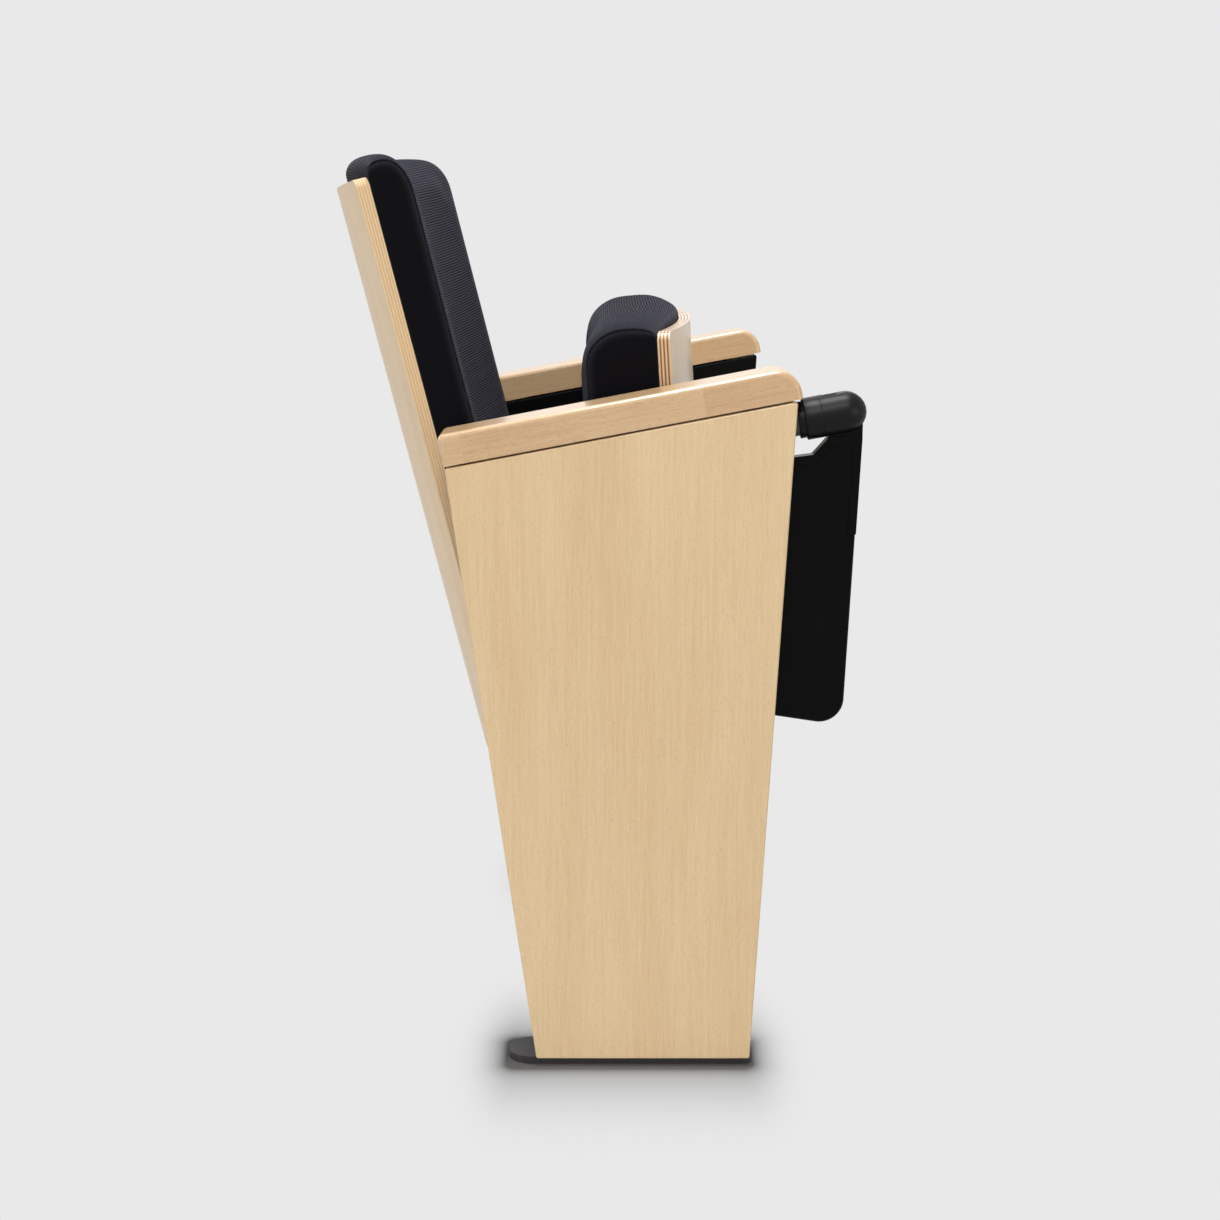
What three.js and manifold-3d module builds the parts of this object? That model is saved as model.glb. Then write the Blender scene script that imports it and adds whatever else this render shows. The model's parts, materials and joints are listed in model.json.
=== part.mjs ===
// Tip up auditorium seat with a folding writing tablet, in millimetres.
// X runs across the seat, Y runs from the front (-Y) to the back (+Y), and Z is up from the floor.
// The right-hand side, which carries the tablet, is at -X. The seat is drawn tipped up.
import * as THREE from 'three';
import { mergeVertices } from 'three/addons/utils/BufferGeometryUtils.js';
import Module from 'manifold-3d';

const wasm = await Module();
wasm.setup();

// Shared clearances
const fit = 0.3; // gap between two pieces that sit against each other
const runningGap = 0.3; // radial gap of a turning fit
const cutOverrun = 3; // how far a cutting solid runs past the face it opens
const sparePlay = 0.6; // side play of a piece that swings in a slot

// Side stands: outer board, cavity with the steel frame, inner board
const standSpacing = 550; // centre to centre
const outerBoard = 14;
const innerBoard = 12;
const frameWidth = 30; // width of the steel post and of the arm tube
const pivotPlateThickness = 5;
const standThickness = outerBoard + frameWidth + pivotPlateThickness + innerBoard + 3 * fit;
const boardFootRear = 75; // board corners, measured from the stand's datum line
const boardFootFront = 142;
const boardTopRear = 158.5;
const boardTopFront = 179;
const boardCorner = 2.5;
const boardEdge = 1.2; // eased edge of the boards
const armShadowGap = 2; // dark joint between armrest and boards

// Foot plate
const plateLength = 248;
const plateWidth = 50;
const plateThickness = 8;
const plateFrontOverhang = 1.5; // in front of the boards
const plateFrontCorner = 6;
const plateInset = 6; // outer board stands proud of the plate by this
const anchorHole = 5.5; // radius
const anchorFrontSetback = 46; // from the front end of the plate
const anchorPitch = 84;

// Armrest
const armSlope = THREE.MathUtils.degToRad(10.8);
const armUnderside = 645.5; // height of the underside at the datum line
const armRear = 160; // datum line to the lower rear corner
const armFront = 184; // datum line to the lower front corner
const armThickness = 31;
const armEdge = 4.5;
const armNoseRadius = 24;
const armTailRadius = 6;

// Steel frame inside a stand
const postFront = 20; // behind the datum line
const postDepth = 40;
const postWall = 2.5;
const postCorner = 4;
const tubeRadius = frameWidth / 2;
const tubeWall = 2;
const tubeDrop = 23; // arm underside to tube axis, square to the slope
const tubeRearSetback = 34; // tube ends this far in from the rear edge of the boards
const tubeFrontSetback = 16;
const postBelowAxis = 7; // the post is cut off this far below the tube's axis
const armBarThickness = tubeDrop - tubeRadius - 2 * fit;
const armBarInset = 20; // arm bar ends inside both ends of the tube
const battenDepth = 14;
const battenInset = 1.5;
const stubTop = 300; // top of the short front batten below the tablet

// Seat pivot
const pivotRear = -20; // datum line to the pivot axis, negative is in front
const pivotHeight = 392;
const pinRadius = 8;
const pinHeadRadius = 12;
const pinHead = 2.6;
const clipThickness = 1.2;
const clipRadius = 12.5;
const clipGroove = 1;
const bushWall = 1.7;
const bushFlange = 1.2;
const bushFlangeRadius = 14;
const springWire = 2.8;
const springRadius = 14; // mean radius of the coils
const springTurns = 2.5;
const springPitch = 3.3;
const springPocket = 18.5; // radius of the hole in the inner board
const pivotPlateMargin = 28; // plate around the pivot
const pivotPlateFoot = 44; // plate below the pivot on the post

// Hinge arms of the seat
const hingeArm = 5;
const hingeArmGap = 4; // arm to the side of the seat
const hingeArmPlay = 3.05; // arm to the stand
const hingeBossRadius = 20;
const hingeArmUp = 128; // reach along the seat, forward of the pivot
const hingeArmDown = 40;
const hingeArmToe = 16;
const hingeArmCorner = 8;
const stopBuffer = 7; // buffer radius
const stopScrewRadius = 3;
const stopHead = 1.6;
const stopAlong = 28; // place of a buffer along the edge that it meets
const tipTravel = THREE.MathUtils.degToRad(88);

// Seat shell and cushion, in the seat's own frame with the pivot at its origin
const seatLean = THREE.MathUtils.degToRad(3.5); // tipped seat leans to the back
const plyThickness = 12;
const seatEdgeDepth = 47; // pivot to the shell's inner face at its side edges
const seatSag = 29; // shell's curve across its width
const seatFrontEnd = 344;
const seatRearEnd = 72;
const shellCorner = 9;
const seatCushionThickness = 75.5;
const seatCushionFront = 351.5;
const seatCushionRear = 66;
const seatNose = 42; // round of the top front edge through the cushion
const seatNoseReach = 36; // and along it
const seatHeel = 20;
const seatSmallRound = 7;
const seatCrown = 7;
const seatFrontCrown = 13; // the front edge swells by this between the sides
const seatDish = 14; // the top is hollowed across its width

// Back shell and cushion, in a frame whose origin lies on the datum line at the floor
const backRecline = THREE.MathUtils.degToRad(13.9);
const backEdgeOffset = 14.1; // reclined plane through the shell's front side edges
const backSag = 44.5;
const backTopEnd = 918;
const backBottomEnd = 305;
const backCushionThickness = 43.5;
const backCushionTop = 934;
const backCushionBottom = 452;
const backTopRound = 27; // round of the top front edge through the cushion
const backTopRoundReach = 40; // and along it
const backTopRearRound = 15;
const backBottomRound = 14;
const backCrown = 8;
const backTopCrown = 11;

// Back brackets
const bracketThickness = 5;
const bracketLow = 452; // along the recline
const bracketHigh = 560;
const bracketWebDepth = 52;
const bracketHoleInset = 18;
const boltRadius = 4;
const boltHeadRadius = 7;
const boltHead = 4.5;
const boltClearance = 0.4;
const screwRadius = 2.5;
const screwHeadRadius = 5;
const screwHead = 2.4;
const screwBite = 8; // screw depth in the shell
const screwInset = 16; // from the ends of a flange

// Flanges that hold the shells, common to seat and back
const flangeReach = 42;
const flangeThickness = 4;

// Writing tablet and its head
const headRadius = 20.4;
const headRear = 40.5; // pivot of the tablet to the rear end of the sleeve
const headSides = 36;
const headCollar = 6.6; // length of the narrower collar behind the sleeve
const headCollarRadius = 17.8;
const tabletPivotFront = 227.7; // datum line to the tablet's pivot
const headBoreDepth = 19;
const knuckleRadius = 19.4;
const knuckleWidth = 13;
const headSlotBack = 0.7; // slot floor clears the knuckle by this
const tabletPinRadius = 4;
const tabletPinHalf = 15;
const tabletThickness = 12;
const carrierPlate = 3;
const carrierRim = 8.5;
const carrierProud = 0.8;
const carrierDrop = 120; // pivot to the lower end of the carrier
const carrierReach = 92; // pivot to the rear end of the carrier
const carrierSlant = 25.5; // its lower edge rises towards the rear by this
const carrierCorner = 2;
const tabletFrontTop = 15.3; // places on the board's outline, from the pivot
const tabletFrontLow = 2.8;
const tabletTopDrop = 41.9;
const tabletTopBack = 31.3;
const tabletLow = 312;
const tabletRearEdge = 232.5;
const tabletRearTop = 69.2;
const tabletRearLow = 276;
const tabletCorner = 24;
const tabletEase = 1.5;
const neckStart = 24;
const neckBack = 16.3; // pivot to the rear edge of the neck
const tabletScrewRadius = 2;
const tabletScrewHead = 4;
const tabletBufferRadius = 9;

// Materials
const beech = { color: 0xd9bd92, roughness: 0.55, metalness: 0 };
const solidBeech = { color: 0xcda97a, roughness: 0.5, metalness: 0 };
const beechPly = { color: 0xe0c8a0, roughness: 0.5, metalness: 0 };
const blackBoard = { color: 0x141313, roughness: 0.6, metalness: 0 };
const blackSteel = { color: 0x2b282a, roughness: 0.5, metalness: 0.3 };
const bareSteel = { color: 0x9a9a9c, roughness: 0.35, metalness: 1 };
const blackFabric = { color: 0x1b1a1e, roughness: 0.95, metalness: 0 };
const satinBlack = { color: 0x17171a, roughness: 0.3, metalness: 0 };
const blackRubber = { color: 0x161616, roughness: 0.9, metalness: 0 };
const paleNylon = { color: 0xd8d6cf, roughness: 0.6, metalness: 0 };
const softwood = { color: 0xc9b084, roughness: 0.7, metalness: 0 };

// Helpers: meshes, solids and profiles

// A named mesh with a material of its own.
function piece(name, geometry, finish) {
  const mesh = new THREE.Mesh(geometry, new THREE.MeshStandardMaterial(finish));
  mesh.name = name;
  return mesh;
}

// A group of its children, placed by position.
function assembly(children, x = 0, y = 0, z = 0) {
  const group = new THREE.Group();
  group.add(...children);
  group.position.set(x, y, z);
  return group;
}

// Closed geometry to manifold solid, with shared vertices merged.
function solid(geometry) {
  const bare = geometry.index ? geometry.toNonIndexed() : geometry.clone();
  bare.deleteAttribute('normal');
  bare.deleteAttribute('uv');
  const merged = mergeVertices(bare, weldTolerance);
  return new wasm.Manifold(new wasm.Mesh({
    numProp: 3,
    vertProperties: merged.attributes.position.array,
    triVerts: new Uint32Array(merged.index.array),
  }));
}

// Manifold solid back to a geometry.
function geometryOf(manifold) {
  const mesh = manifold.getMesh();
  const geometry = new THREE.BufferGeometry();
  geometry.setAttribute('position', new THREE.BufferAttribute(mesh.vertProperties, 3));
  geometry.setIndex(new THREE.BufferAttribute(mesh.triVerts, 1));
  geometry.computeVertexNormals();
  return geometry;
}

const weldTolerance = 1e-3;
const roundSides = 24;
const acrossX = new THREE.Matrix4().makeBasis(
  new THREE.Vector3(0, 1, 0),
  new THREE.Vector3(0, 0, 1),
  new THREE.Vector3(1, 0, 0),
);

// One base geometry joined with some and cut by others.
function carve(base, { add = [], cut = [] }) {
  let result = solid(base);
  for (const geometry of add) result = result.add(solid(geometry));
  for (const geometry of cut) result = result.subtract(solid(geometry));
  return geometryOf(result);
}

// The part that two geometries share.
function shared(a, b) {
  return geometryOf(solid(a).intersect(solid(b)));
}

// Outline through corner points, each rounded by its own radius.
function roundedShape(points, radii) {
  const shape = new THREE.Shape();
  const count = points.length;
  points.forEach(([px, py], i) => {
    const corner = new THREE.Vector2(px, py);
    const before = new THREE.Vector2(...points[(i + count - 1) % count]).sub(corner).normalize();
    const after = new THREE.Vector2(...points[(i + 1) % count]).sub(corner).normalize();
    const radius = Array.isArray(radii) ? radii[i] : radii;
    if (radius === 0) {
      if (i === 0) shape.moveTo(px, py);
      else shape.lineTo(px, py);
      return;
    }
    const half = Math.acos(before.dot(after)) / 2;
    const reach = radius / Math.tan(half);
    const start = before.clone().multiplyScalar(reach).add(corner);
    const end = after.clone().multiplyScalar(reach).add(corner);
    const inwards = before.clone().add(after).normalize();
    const centre = inwards.multiplyScalar(radius / Math.sin(half)).add(corner);
    const from = Math.atan2(start.y - centre.y, start.x - centre.x);
    const to = Math.atan2(end.y - centre.y, end.x - centre.x);
    const clockwise = before.cross(after) > 0;
    if (i > 0) shape.lineTo(centre.x + radius * Math.cos(from), centre.y + radius * Math.sin(from));
    shape.absarc(centre.x, centre.y, radius, from, to, clockwise);
  });
  return shape;
}

// Moves each edge of a counter-clockwise outline inwards by its own distance.
function insetOutline(points, distances) {
  const count = points.length;
  const lines = points.map((p, i) => {
    const q = points[(i + 1) % count];
    const along = new THREE.Vector2(q[0] - p[0], q[1] - p[1]).normalize();
    const distance = Array.isArray(distances) ? distances[i] : distances;
    return { x: p[0] - along.y * distance, y: p[1] + along.x * distance, along };
  });
  return lines.map((line, i) => {
    const last = lines[(i + count - 1) % count];
    const cross = last.along.x * line.along.y - last.along.y * line.along.x;
    const t = ((line.x - last.x) * line.along.y - (line.y - last.y) * line.along.x) / cross;
    return [last.x + last.along.x * t, last.y + last.along.y * t];
  });
}

// A (Y, Z) outline extruded across X between two places, with eased edges if asked.
function slab(shape, fromX, toX, ease = 0, curveSegments = 4) {
  const geometry = new THREE.ExtrudeGeometry(shape, {
    depth: toX - fromX - 2 * ease,
    curveSegments,
    bevelEnabled: ease > 0,
    bevelSize: ease,
    bevelThickness: ease,
    bevelOffset: -ease,
    bevelSegments: ease > boardEdge * 2 ? 3 : 1,
  });
  geometry.applyMatrix4(acrossX);
  geometry.translate(fromX + ease, 0, 0);
  return geometry;
}

// A cylinder along X between two places.
function barX(radius, fromX, toX, y = 0, z = 0, sides = roundSides) {
  const geometry = new THREE.CylinderGeometry(radius, radius, toX - fromX, sides);
  geometry.rotateZ(-Math.PI / 2);
  geometry.translate((fromX + toX) / 2, y, z);
  return geometry;
}

// A turned piece along X: profile points are [place along X, radius] and start and end on the axis.
function turnedX(profile, y = 0, z = 0, sides = roundSides) {
  const geometry = new THREE.LatheGeometry(profile.map(([x, r]) => new THREE.Vector2(r, x)), sides);
  geometry.rotateZ(-Math.PI / 2);
  geometry.translate(0, y, z);
  return geometry;
}

// A box between two corners.
function block(low, high) {
  const geometry = new THREE.BoxGeometry(high[0] - low[0], high[1] - low[1], high[2] - low[2]);
  geometry.translate((high[0] + low[0]) / 2, (high[1] + low[1]) / 2, (high[2] + low[2]) / 2);
  return geometry;
}

// Height of the arm's underside at a place along Y.
function armUnder(y) {
  return armUnderside - y * Math.tan(armSlope);
}

// Height of the tube's axis at a place along Y.
function tubeAxis(y) {
  return armUnder(y) - tubeDrop / Math.cos(armSlope);
}

// Places through the thickness of a stand, from its outer face inwards
const cavityStart = outerBoard + fit;
const cavityEnd = cavityStart + frameWidth;
const plateStart = cavityEnd + fit;
const plateEnd = plateStart + pivotPlateThickness;
const innerStart = plateEnd + fit;
const cavityMiddle = (cavityStart + cavityEnd) / 2;
const plateTop = plateThickness + fit;
const sideGap = hingeArmGap + hingeArm + hingeArmPlay; // side of the seat to the stand
const sideHalf = (standSpacing - standThickness) / 2 - sideGap; // half width of shells and cushions
const clipStart = standThickness + sideGap - hingeArmGap + fit;

const seatMiddle = standSpacing / 2 + standThickness / 2; // outer face of a stand to the middle

// Screws of the flanges, low and high
const backScrews = [bracketLow + screwInset, bracketHigh - screwInset].map((along) => (
  { sag: backSag, offset: backEdgeOffset, facing: 1, along }
));
const seatScrews = [-hingeArmDown + screwInset, hingeArmUp - screwInset].map((along) => (
  { sag: seatSag, offset: seatEdgeDepth, facing: -1, along }
));

// Bolts of the back brackets, in the reclined frame and then in the stand's frame
const bracketFoot = backEdgeOffset + flangeLine(backSag, seatMiddle - standThickness) - bracketWebDepth;
const bracketHoles = [bracketLow + bracketHoleInset, bracketHigh - bracketHoleInset]
  .map((t) => [bracketFoot + bracketHoleInset, t]);
const bracketBolts = bracketHoles.map(([n, t]) => [
  n * Math.cos(backRecline) + t * Math.sin(backRecline),
  t * Math.cos(backRecline) - n * Math.sin(backRecline),
]);

// Outline of a hinge arm in the seat's frame, and the buffers that its edges meet
const hingeArmFace = -seatEdgeDepth - flangeThickness * flangeSkew(seatSag)
  - flangeLine(seatSag, sideHalf + hingeArmGap + hingeArm);
const hingeArmCorners = [
  [hingeArmFace, -hingeArmDown],
  [-seatEdgeDepth, -hingeArmDown],
  [hingeArmToe, -hingeArmToe],
  [hingeArmToe, hingeArmToe],
  [-seatEdgeDepth, hingeArmUp],
  [hingeArmFace, hingeArmUp],
];
const upStop = stopCentre(hingeArmCorners[3], hingeArmCorners[4], 0);
const downStop = stopCentre(hingeArmCorners[1], hingeArmCorners[2], tipTravel);

// Centre of a buffer that just meets one edge of the hinge arm when the seat has turned.
function stopCentre(start, end, turn) {
  const from = new THREE.Vector2(...start);
  const along = new THREE.Vector2(...end).sub(from).normalize();
  const outward = new THREE.Vector2(along.y, -along.x).multiplyScalar(stopBuffer + fit);
  const centre = from.add(along.multiplyScalar(stopAlong)).add(outward);
  centre.rotateAround(new THREE.Vector2(), turn - seatLean);
  return [pivotRear + centre.x, pivotHeight + centre.y];
}

// Board outline of a stand, shared by both boards and by the strips between them
const boardCorners = [
  [-boardFootFront, plateTop],
  [boardFootRear, plateTop],
  [boardTopRear, armUnder(boardTopRear) - armShadowGap],
  [-boardTopFront, armUnder(-boardTopFront) - armShadowGap],
];

// Rear edge of the boards at a height.
function boardRear(z) {
  const share = (z - plateTop) / (boardCorners[2][1] - plateTop);
  return boardFootRear + (boardTopRear - boardFootRear) * share;
}

// Front edge of the boards at a height.
function boardFrontEdge(z) {
  const share = (z - plateTop) / (boardCorners[3][1] - plateTop);
  return -boardFootFront - (boardTopFront - boardFootFront) * share;
}

// Side stand

// Foot plate: round at the rear, small corners in front, with two anchor holes.
function footPlate(name) {
  const front = -boardFootFront - plateFrontOverhang;
  const rear = front + plateLength;
  const half = plateWidth / 2;
  const shape = roundedShape(
    [[-half, front], [half, front], [half, rear], [-half, rear]],
    [plateFrontCorner, plateFrontCorner, half - fit, half - fit],
  );
  for (const y of [front + anchorFrontSetback, front + anchorFrontSetback + anchorPitch]) {
    shape.holes.push(new THREE.Path().absarc(0, y, anchorHole, 0, Math.PI * 2, true));
  }
  const geometry = new THREE.ExtrudeGeometry(shape, {
    depth: plateThickness,
    bevelEnabled: false,
    curveSegments: 8,
  });
  geometry.translate(plateInset + half, 0, 0);
  return piece(name, geometry, blackSteel);
}

// Square post, coped to the tube that lies on it.
function post(name) {
  const outer = roundedShape(
    [[cavityStart, postFront], [cavityEnd, postFront],
      [cavityEnd, postFront + postDepth], [cavityStart, postFront + postDepth]],
    postCorner,
  );
  const bore = insetOutline(
    [[cavityStart, postFront], [cavityEnd, postFront],
      [cavityEnd, postFront + postDepth], [cavityStart, postFront + postDepth]],
    postWall,
  );
  outer.holes.push(new THREE.Path(bore.map(([x, y]) => new THREE.Vector2(x, y))));
  const middle = postFront + postDepth / 2;
  const top = tubeAxis(middle);
  const tall = new THREE.ExtrudeGeometry(outer, {
    depth: top - plateTop,
    bevelEnabled: false,
    curveSegments: 3,
  });
  tall.translate(0, 0, plateTop);
  const saddle = tubeRadius + fit;
  const cope = new THREE.CylinderGeometry(saddle, saddle, postDepth * 2, roundSides);
  cope.rotateX(-armSlope);
  cope.translate(cavityMiddle, middle, top);
  const reach = postDepth;
  const trim = new THREE.Shape();
  trim.moveTo(middle - reach, tubeAxis(middle - reach) - postBelowAxis);
  trim.lineTo(middle + reach, tubeAxis(middle + reach) - postBelowAxis);
  trim.lineTo(middle + reach, top + reach);
  trim.lineTo(middle - reach, top + reach);
  const above = slab(trim, cavityStart - cutOverrun, cavityEnd + cutOverrun);
  return piece(name, carve(tall, { cut: [cope, above] }), blackSteel);
}

// Round tube under the armrest. On the tablet side it runs on as the spigot of the head.
function armTube(name, frontEnd) {
  const rear = boardTopRear - tubeRearSetback;
  const length = (rear - frontEnd) / Math.cos(armSlope);
  const shape = new THREE.Shape().absarc(0, 0, tubeRadius, 0, Math.PI * 2);
  shape.holes.push(new THREE.Path().absarc(0, 0, tubeRadius - tubeWall, 0, Math.PI * 2, true));
  const geometry = new THREE.ExtrudeGeometry(shape, {
    depth: length,
    bevelEnabled: false,
    curveSegments: roundSides / 2,
  });
  geometry.rotateX(Math.PI / 2 - armSlope);
  geometry.translate(cavityMiddle, rear, tubeAxis(rear));
  return piece(name, geometry, blackSteel);
}

// Flat bar between tube and armrest, screwed up into the wood.
function armBar(name) {
  const rear = boardTopRear - tubeRearSetback - armBarInset;
  const front = -boardTopFront + tubeFrontSetback + armBarInset;
  const top = fit / Math.cos(armSlope);
  const bottom = (fit + armBarThickness) / Math.cos(armSlope);
  const shape = roundedShape([
    [front, armUnder(front) - bottom],
    [rear, armUnder(rear) - bottom],
    [rear, armUnder(rear) - top],
    [front, armUnder(front) - top],
  ], 0);
  return piece(name, slab(shape, cavityStart, cavityEnd), blackSteel);
}

// Steel plate on the post that carries the seat pivot and the back bracket.
function pivotPlate(name, bolts) {
  const [[lowY, lowZ], [topY, topZ]] = bolts;
  const margin = pivotPlateMargin / 2;
  const shape = roundedShape([
    [pivotRear - pivotPlateMargin, pivotHeight - pivotPlateMargin],
    [postFront + postDepth, pivotHeight - pivotPlateFoot],
    [lowY + margin, lowZ - margin],
    [topY + margin, topZ + margin],
    [topY - margin, topZ + margin],
    [pivotRear - pivotPlateMargin, pivotHeight + pivotPlateMargin],
  ], [margin, margin, margin, margin / 2, margin / 2, margin]);
  const from = plateStart - cutOverrun;
  const to = plateEnd + cutOverrun;
  const holes = [
    barX(pinRadius + fit, from, to, pivotRear, pivotHeight),
    ...bolts.map(([y, z]) => barX(boltRadius + boltClearance, from, to, y, z, 16)),
  ];
  return piece(name, carve(slab(shape, plateStart, plateEnd), { cut: holes }), blackSteel);
}

// Veneered outer board.
function outerPanel(name) {
  const shape = roundedShape(boardCorners, boardCorner);
  return piece(name, slab(shape, 0, outerBoard, boardEdge), beech);
}

// Black inner board, open round the pivot pin and at the bracket bolts and stops.
function innerPanel(name, bolts, stops) {
  const shape = roundedShape(boardCorners, boardCorner);
  const from = innerStart - cutOverrun;
  const to = standThickness + cutOverrun;
  const cut = [
    barX(springPocket, from, to, pivotRear, pivotHeight),
    ...bolts.map(([y, z]) => barX(boltRadius + boltClearance, from, to, y, z, 16)),
    ...stops.map(([y, z]) => barX(stopScrewRadius + fit, from, to, y, z, 16)),
  ];
  return piece(name, carve(slab(shape, innerStart, standThickness, boardEdge), { cut }), blackBoard);
}

// Strip between the boards along their rear edge.
function rearBatten(name) {
  const low = plateTop;
  const high = armUnder(boardTopRear) - armShadowGap - battenInset;
  const shape = roundedShape([
    [boardRear(low) - battenDepth, low],
    [boardRear(low) - battenInset, low],
    [boardRear(high) - battenInset, high],
    [boardRear(high) - battenDepth, high],
  ], 0);
  return piece(name, slab(shape, cavityStart, cavityEnd), softwood);
}

// Strip between the boards along their front edge, up to a height.
function frontBatten(name, high) {
  const low = plateTop;
  const shape = roundedShape([
    [boardFrontEdge(low) + battenInset, low],
    [boardFrontEdge(low) + battenDepth, low],
    [boardFrontEdge(high) + battenDepth, high],
    [boardFrontEdge(high) + battenInset, high],
  ], 0);
  return piece(name, slab(shape, cavityStart, plateEnd), softwood);
}

// Solid armrest with a rounded front top corner and rounded edges, flat underneath.
function armrest(name) {
  const length = (armRear + armFront) / Math.cos(armSlope);
  const shape = roundedShape([
    [-length, -armEdge],
    [0, -armEdge],
    [0, armThickness],
    [-length, armThickness],
  ], [0, 0, armTailRadius, armNoseRadius]);
  const whole = slab(shape, 0, standThickness, armEdge, 7);
  const below = block(
    [-cutOverrun, -length - armThickness, -armThickness],
    [standThickness + cutOverrun, armThickness, 0],
  );
  const geometry = carve(whole, { cut: [below] });
  geometry.rotateX(-armSlope);
  geometry.translate(0, armRear, armUnder(armRear));
  return piece(name, geometry, solidBeech);
}

// Seat pivot pin with a head in the cavity and a clip groove near its inner end.
function pivotPin(name) {
  const end = clipStart + clipThickness + clipGroove;
  const neck = pinRadius - clipGroove;
  return piece(name, turnedX([
    [cavityEnd - pinHead, 0],
    [cavityEnd - pinHead, pinHeadRadius],
    [cavityEnd, pinHeadRadius],
    [cavityEnd, pinRadius],
    [clipStart - fit / 2, pinRadius],
    [clipStart - fit / 2, neck],
    [end - clipGroove + fit / 2, neck],
    [end - clipGroove + fit / 2, pinRadius],
    [end, pinRadius],
    [end, 0],
  ], pivotRear, pivotHeight), bareSteel);
}

// Open ring that snaps into the pin's groove.
function pinClip(name) {
  const inner = pinRadius - clipGroove + fit;
  const opening = Math.PI / 5;
  const shape = new THREE.Shape();
  shape.absarc(0, 0, clipRadius, opening, Math.PI * 2 - opening, false);
  shape.absarc(0, 0, inner, Math.PI * 2 - opening, opening, true);
  const geometry = slab(shape, clipStart, clipStart + clipThickness, 0, roundSides / 2);
  geometry.translate(0, pivotRear, pivotHeight);
  return piece(name, geometry, bareSteel);
}

// Centre line of a torsion spring that is coiled round the pin.
class SpringPath extends THREE.Curve {
  getPoint(t, target = new THREE.Vector3()) {
    const angle = t * springTurns * Math.PI * 2;
    const start = innerStart + fit + springWire / 2;
    const x = start + t * springTurns * springPitch;
    return target.set(x, springRadius * Math.cos(angle), springRadius * Math.sin(angle));
  }
}

// Torsion spring in the pocket of the inner board.
function returnSpring(name) {
  const half = springWire / 2;
  const wire = new THREE.Shape(Array.from({ length: 6 }, (_, i) => {
    const angle = (i * Math.PI) / 3;
    return new THREE.Vector2(half * Math.cos(angle), half * Math.sin(angle));
  }));
  const geometry = new THREE.ExtrudeGeometry(wire, {
    steps: Math.round(springTurns * 12),
    bevelEnabled: false,
    extrudePath: new SpringPath(),
  });
  geometry.translate(0, pivotRear, pivotHeight);
  return piece(name, geometry, bareSteel);
}

// Rubber buffer on a screw in the inner board.
function stopPiece(name, [y, z]) {
  const outer = standThickness + fit;
  const end = standThickness + sideGap - hingeArmGap / 2;
  return piece(name, turnedX([
    [innerStart, 0],
    [innerStart, stopScrewRadius],
    [outer, stopScrewRadius],
    [outer, stopBuffer],
    [end - stopHead / 2, stopBuffer],
    [end, stopBuffer - stopHead / 2],
    [end, 0],
  ], y, z, 20), blackRubber);
}

// Back bracket: a web on the stand and a flange behind the shell, bent from one plate.
// It is drawn in the back's reclined frame, where the third axis runs up the back.
function backBracket(name) {
  const web = standThickness + fit;
  const near = web + bracketThickness;
  const section = flangeSection(backSag, web, (n) => backEdgeOffset + n);
  const height = bracketHigh - bracketLow;
  const flange = new THREE.ExtrudeGeometry(section, { depth: height, bevelEnabled: false });
  flange.translate(0, 0, bracketLow);
  const thick = flangeSkew(backSag) * flangeThickness;
  const outer = backEdgeOffset + flangeLine(backSag, seatMiddle - web) + thick;
  const webPlate = block([web, bracketFoot, bracketLow], [near, outer, bracketHigh]);
  const from = web - cutOverrun;
  const to = near + cutOverrun;
  const cut = [
    ...bracketHoles.map(([n, t]) => barX(boltRadius + boltClearance, from, to, n, t, 16)),
    ...backScrews.map((place) => screwHole(place)),
  ];
  return piece(name, carve(flange, { add: [webPlate], cut }), blackSteel);
}

// Bolt through bracket, inner board and pivot plate, with a dome head on the bracket.
function bracketBolt(name, [y, z]) {
  const face = standThickness + 2 * fit + bracketThickness;
  return piece(name, turnedX([
    [cavityEnd - boltHead, 0],
    [cavityEnd - boltHead, boltRadius],
    [face, boltRadius],
    [face, boltHeadRadius],
    [face + boltHead / 2, boltHeadRadius],
    [face + boltHead * 0.85, boltHeadRadius * 0.7],
    [face + boltHead, 0],
  ], y, z, 16), blackSteel);
}

// Curved shells. Depths are measured square to the plane through the side edges.

// Radius of an arc with a sag over the half width.
function arcRadius(sag) {
  return (sideHalf * sideHalf + sag * sag) / (2 * sag);
}

// Depth of an arc at a place across the width.
function arcDepth(sag, x) {
  const radius = arcRadius(sag);
  return Math.sqrt(radius * radius - x * x) - (radius - sag);
}

// Depth of a shell's convex face at a place across the width.
function outerDepth(sag, x) {
  const radius = arcRadius(sag);
  const outer = radius + plyThickness;
  return Math.sqrt(outer * outer - x * x) - (radius - sag);
}

// A flange is straight, and touches the shell's convex face at the middle of its reach.
function flangeSlope(sag) {
  const outer = arcRadius(sag) + plyThickness;
  const middle = sideHalf - flangeReach / 2;
  return middle / Math.sqrt(outer * outer - middle * middle);
}

// Lengthening of a measure taken across a sloping flange.
function flangeSkew(sag) {
  return Math.hypot(1, flangeSlope(sag));
}

// Depth of the flange's face against the shell, at a distance from the middle of the seat.
function flangeLine(sag, x) {
  const middle = sideHalf - flangeReach / 2;
  return outerDepth(sag, middle) + flangeSlope(sag) * (middle - x) + fit * flangeSkew(sag);
}

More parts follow.
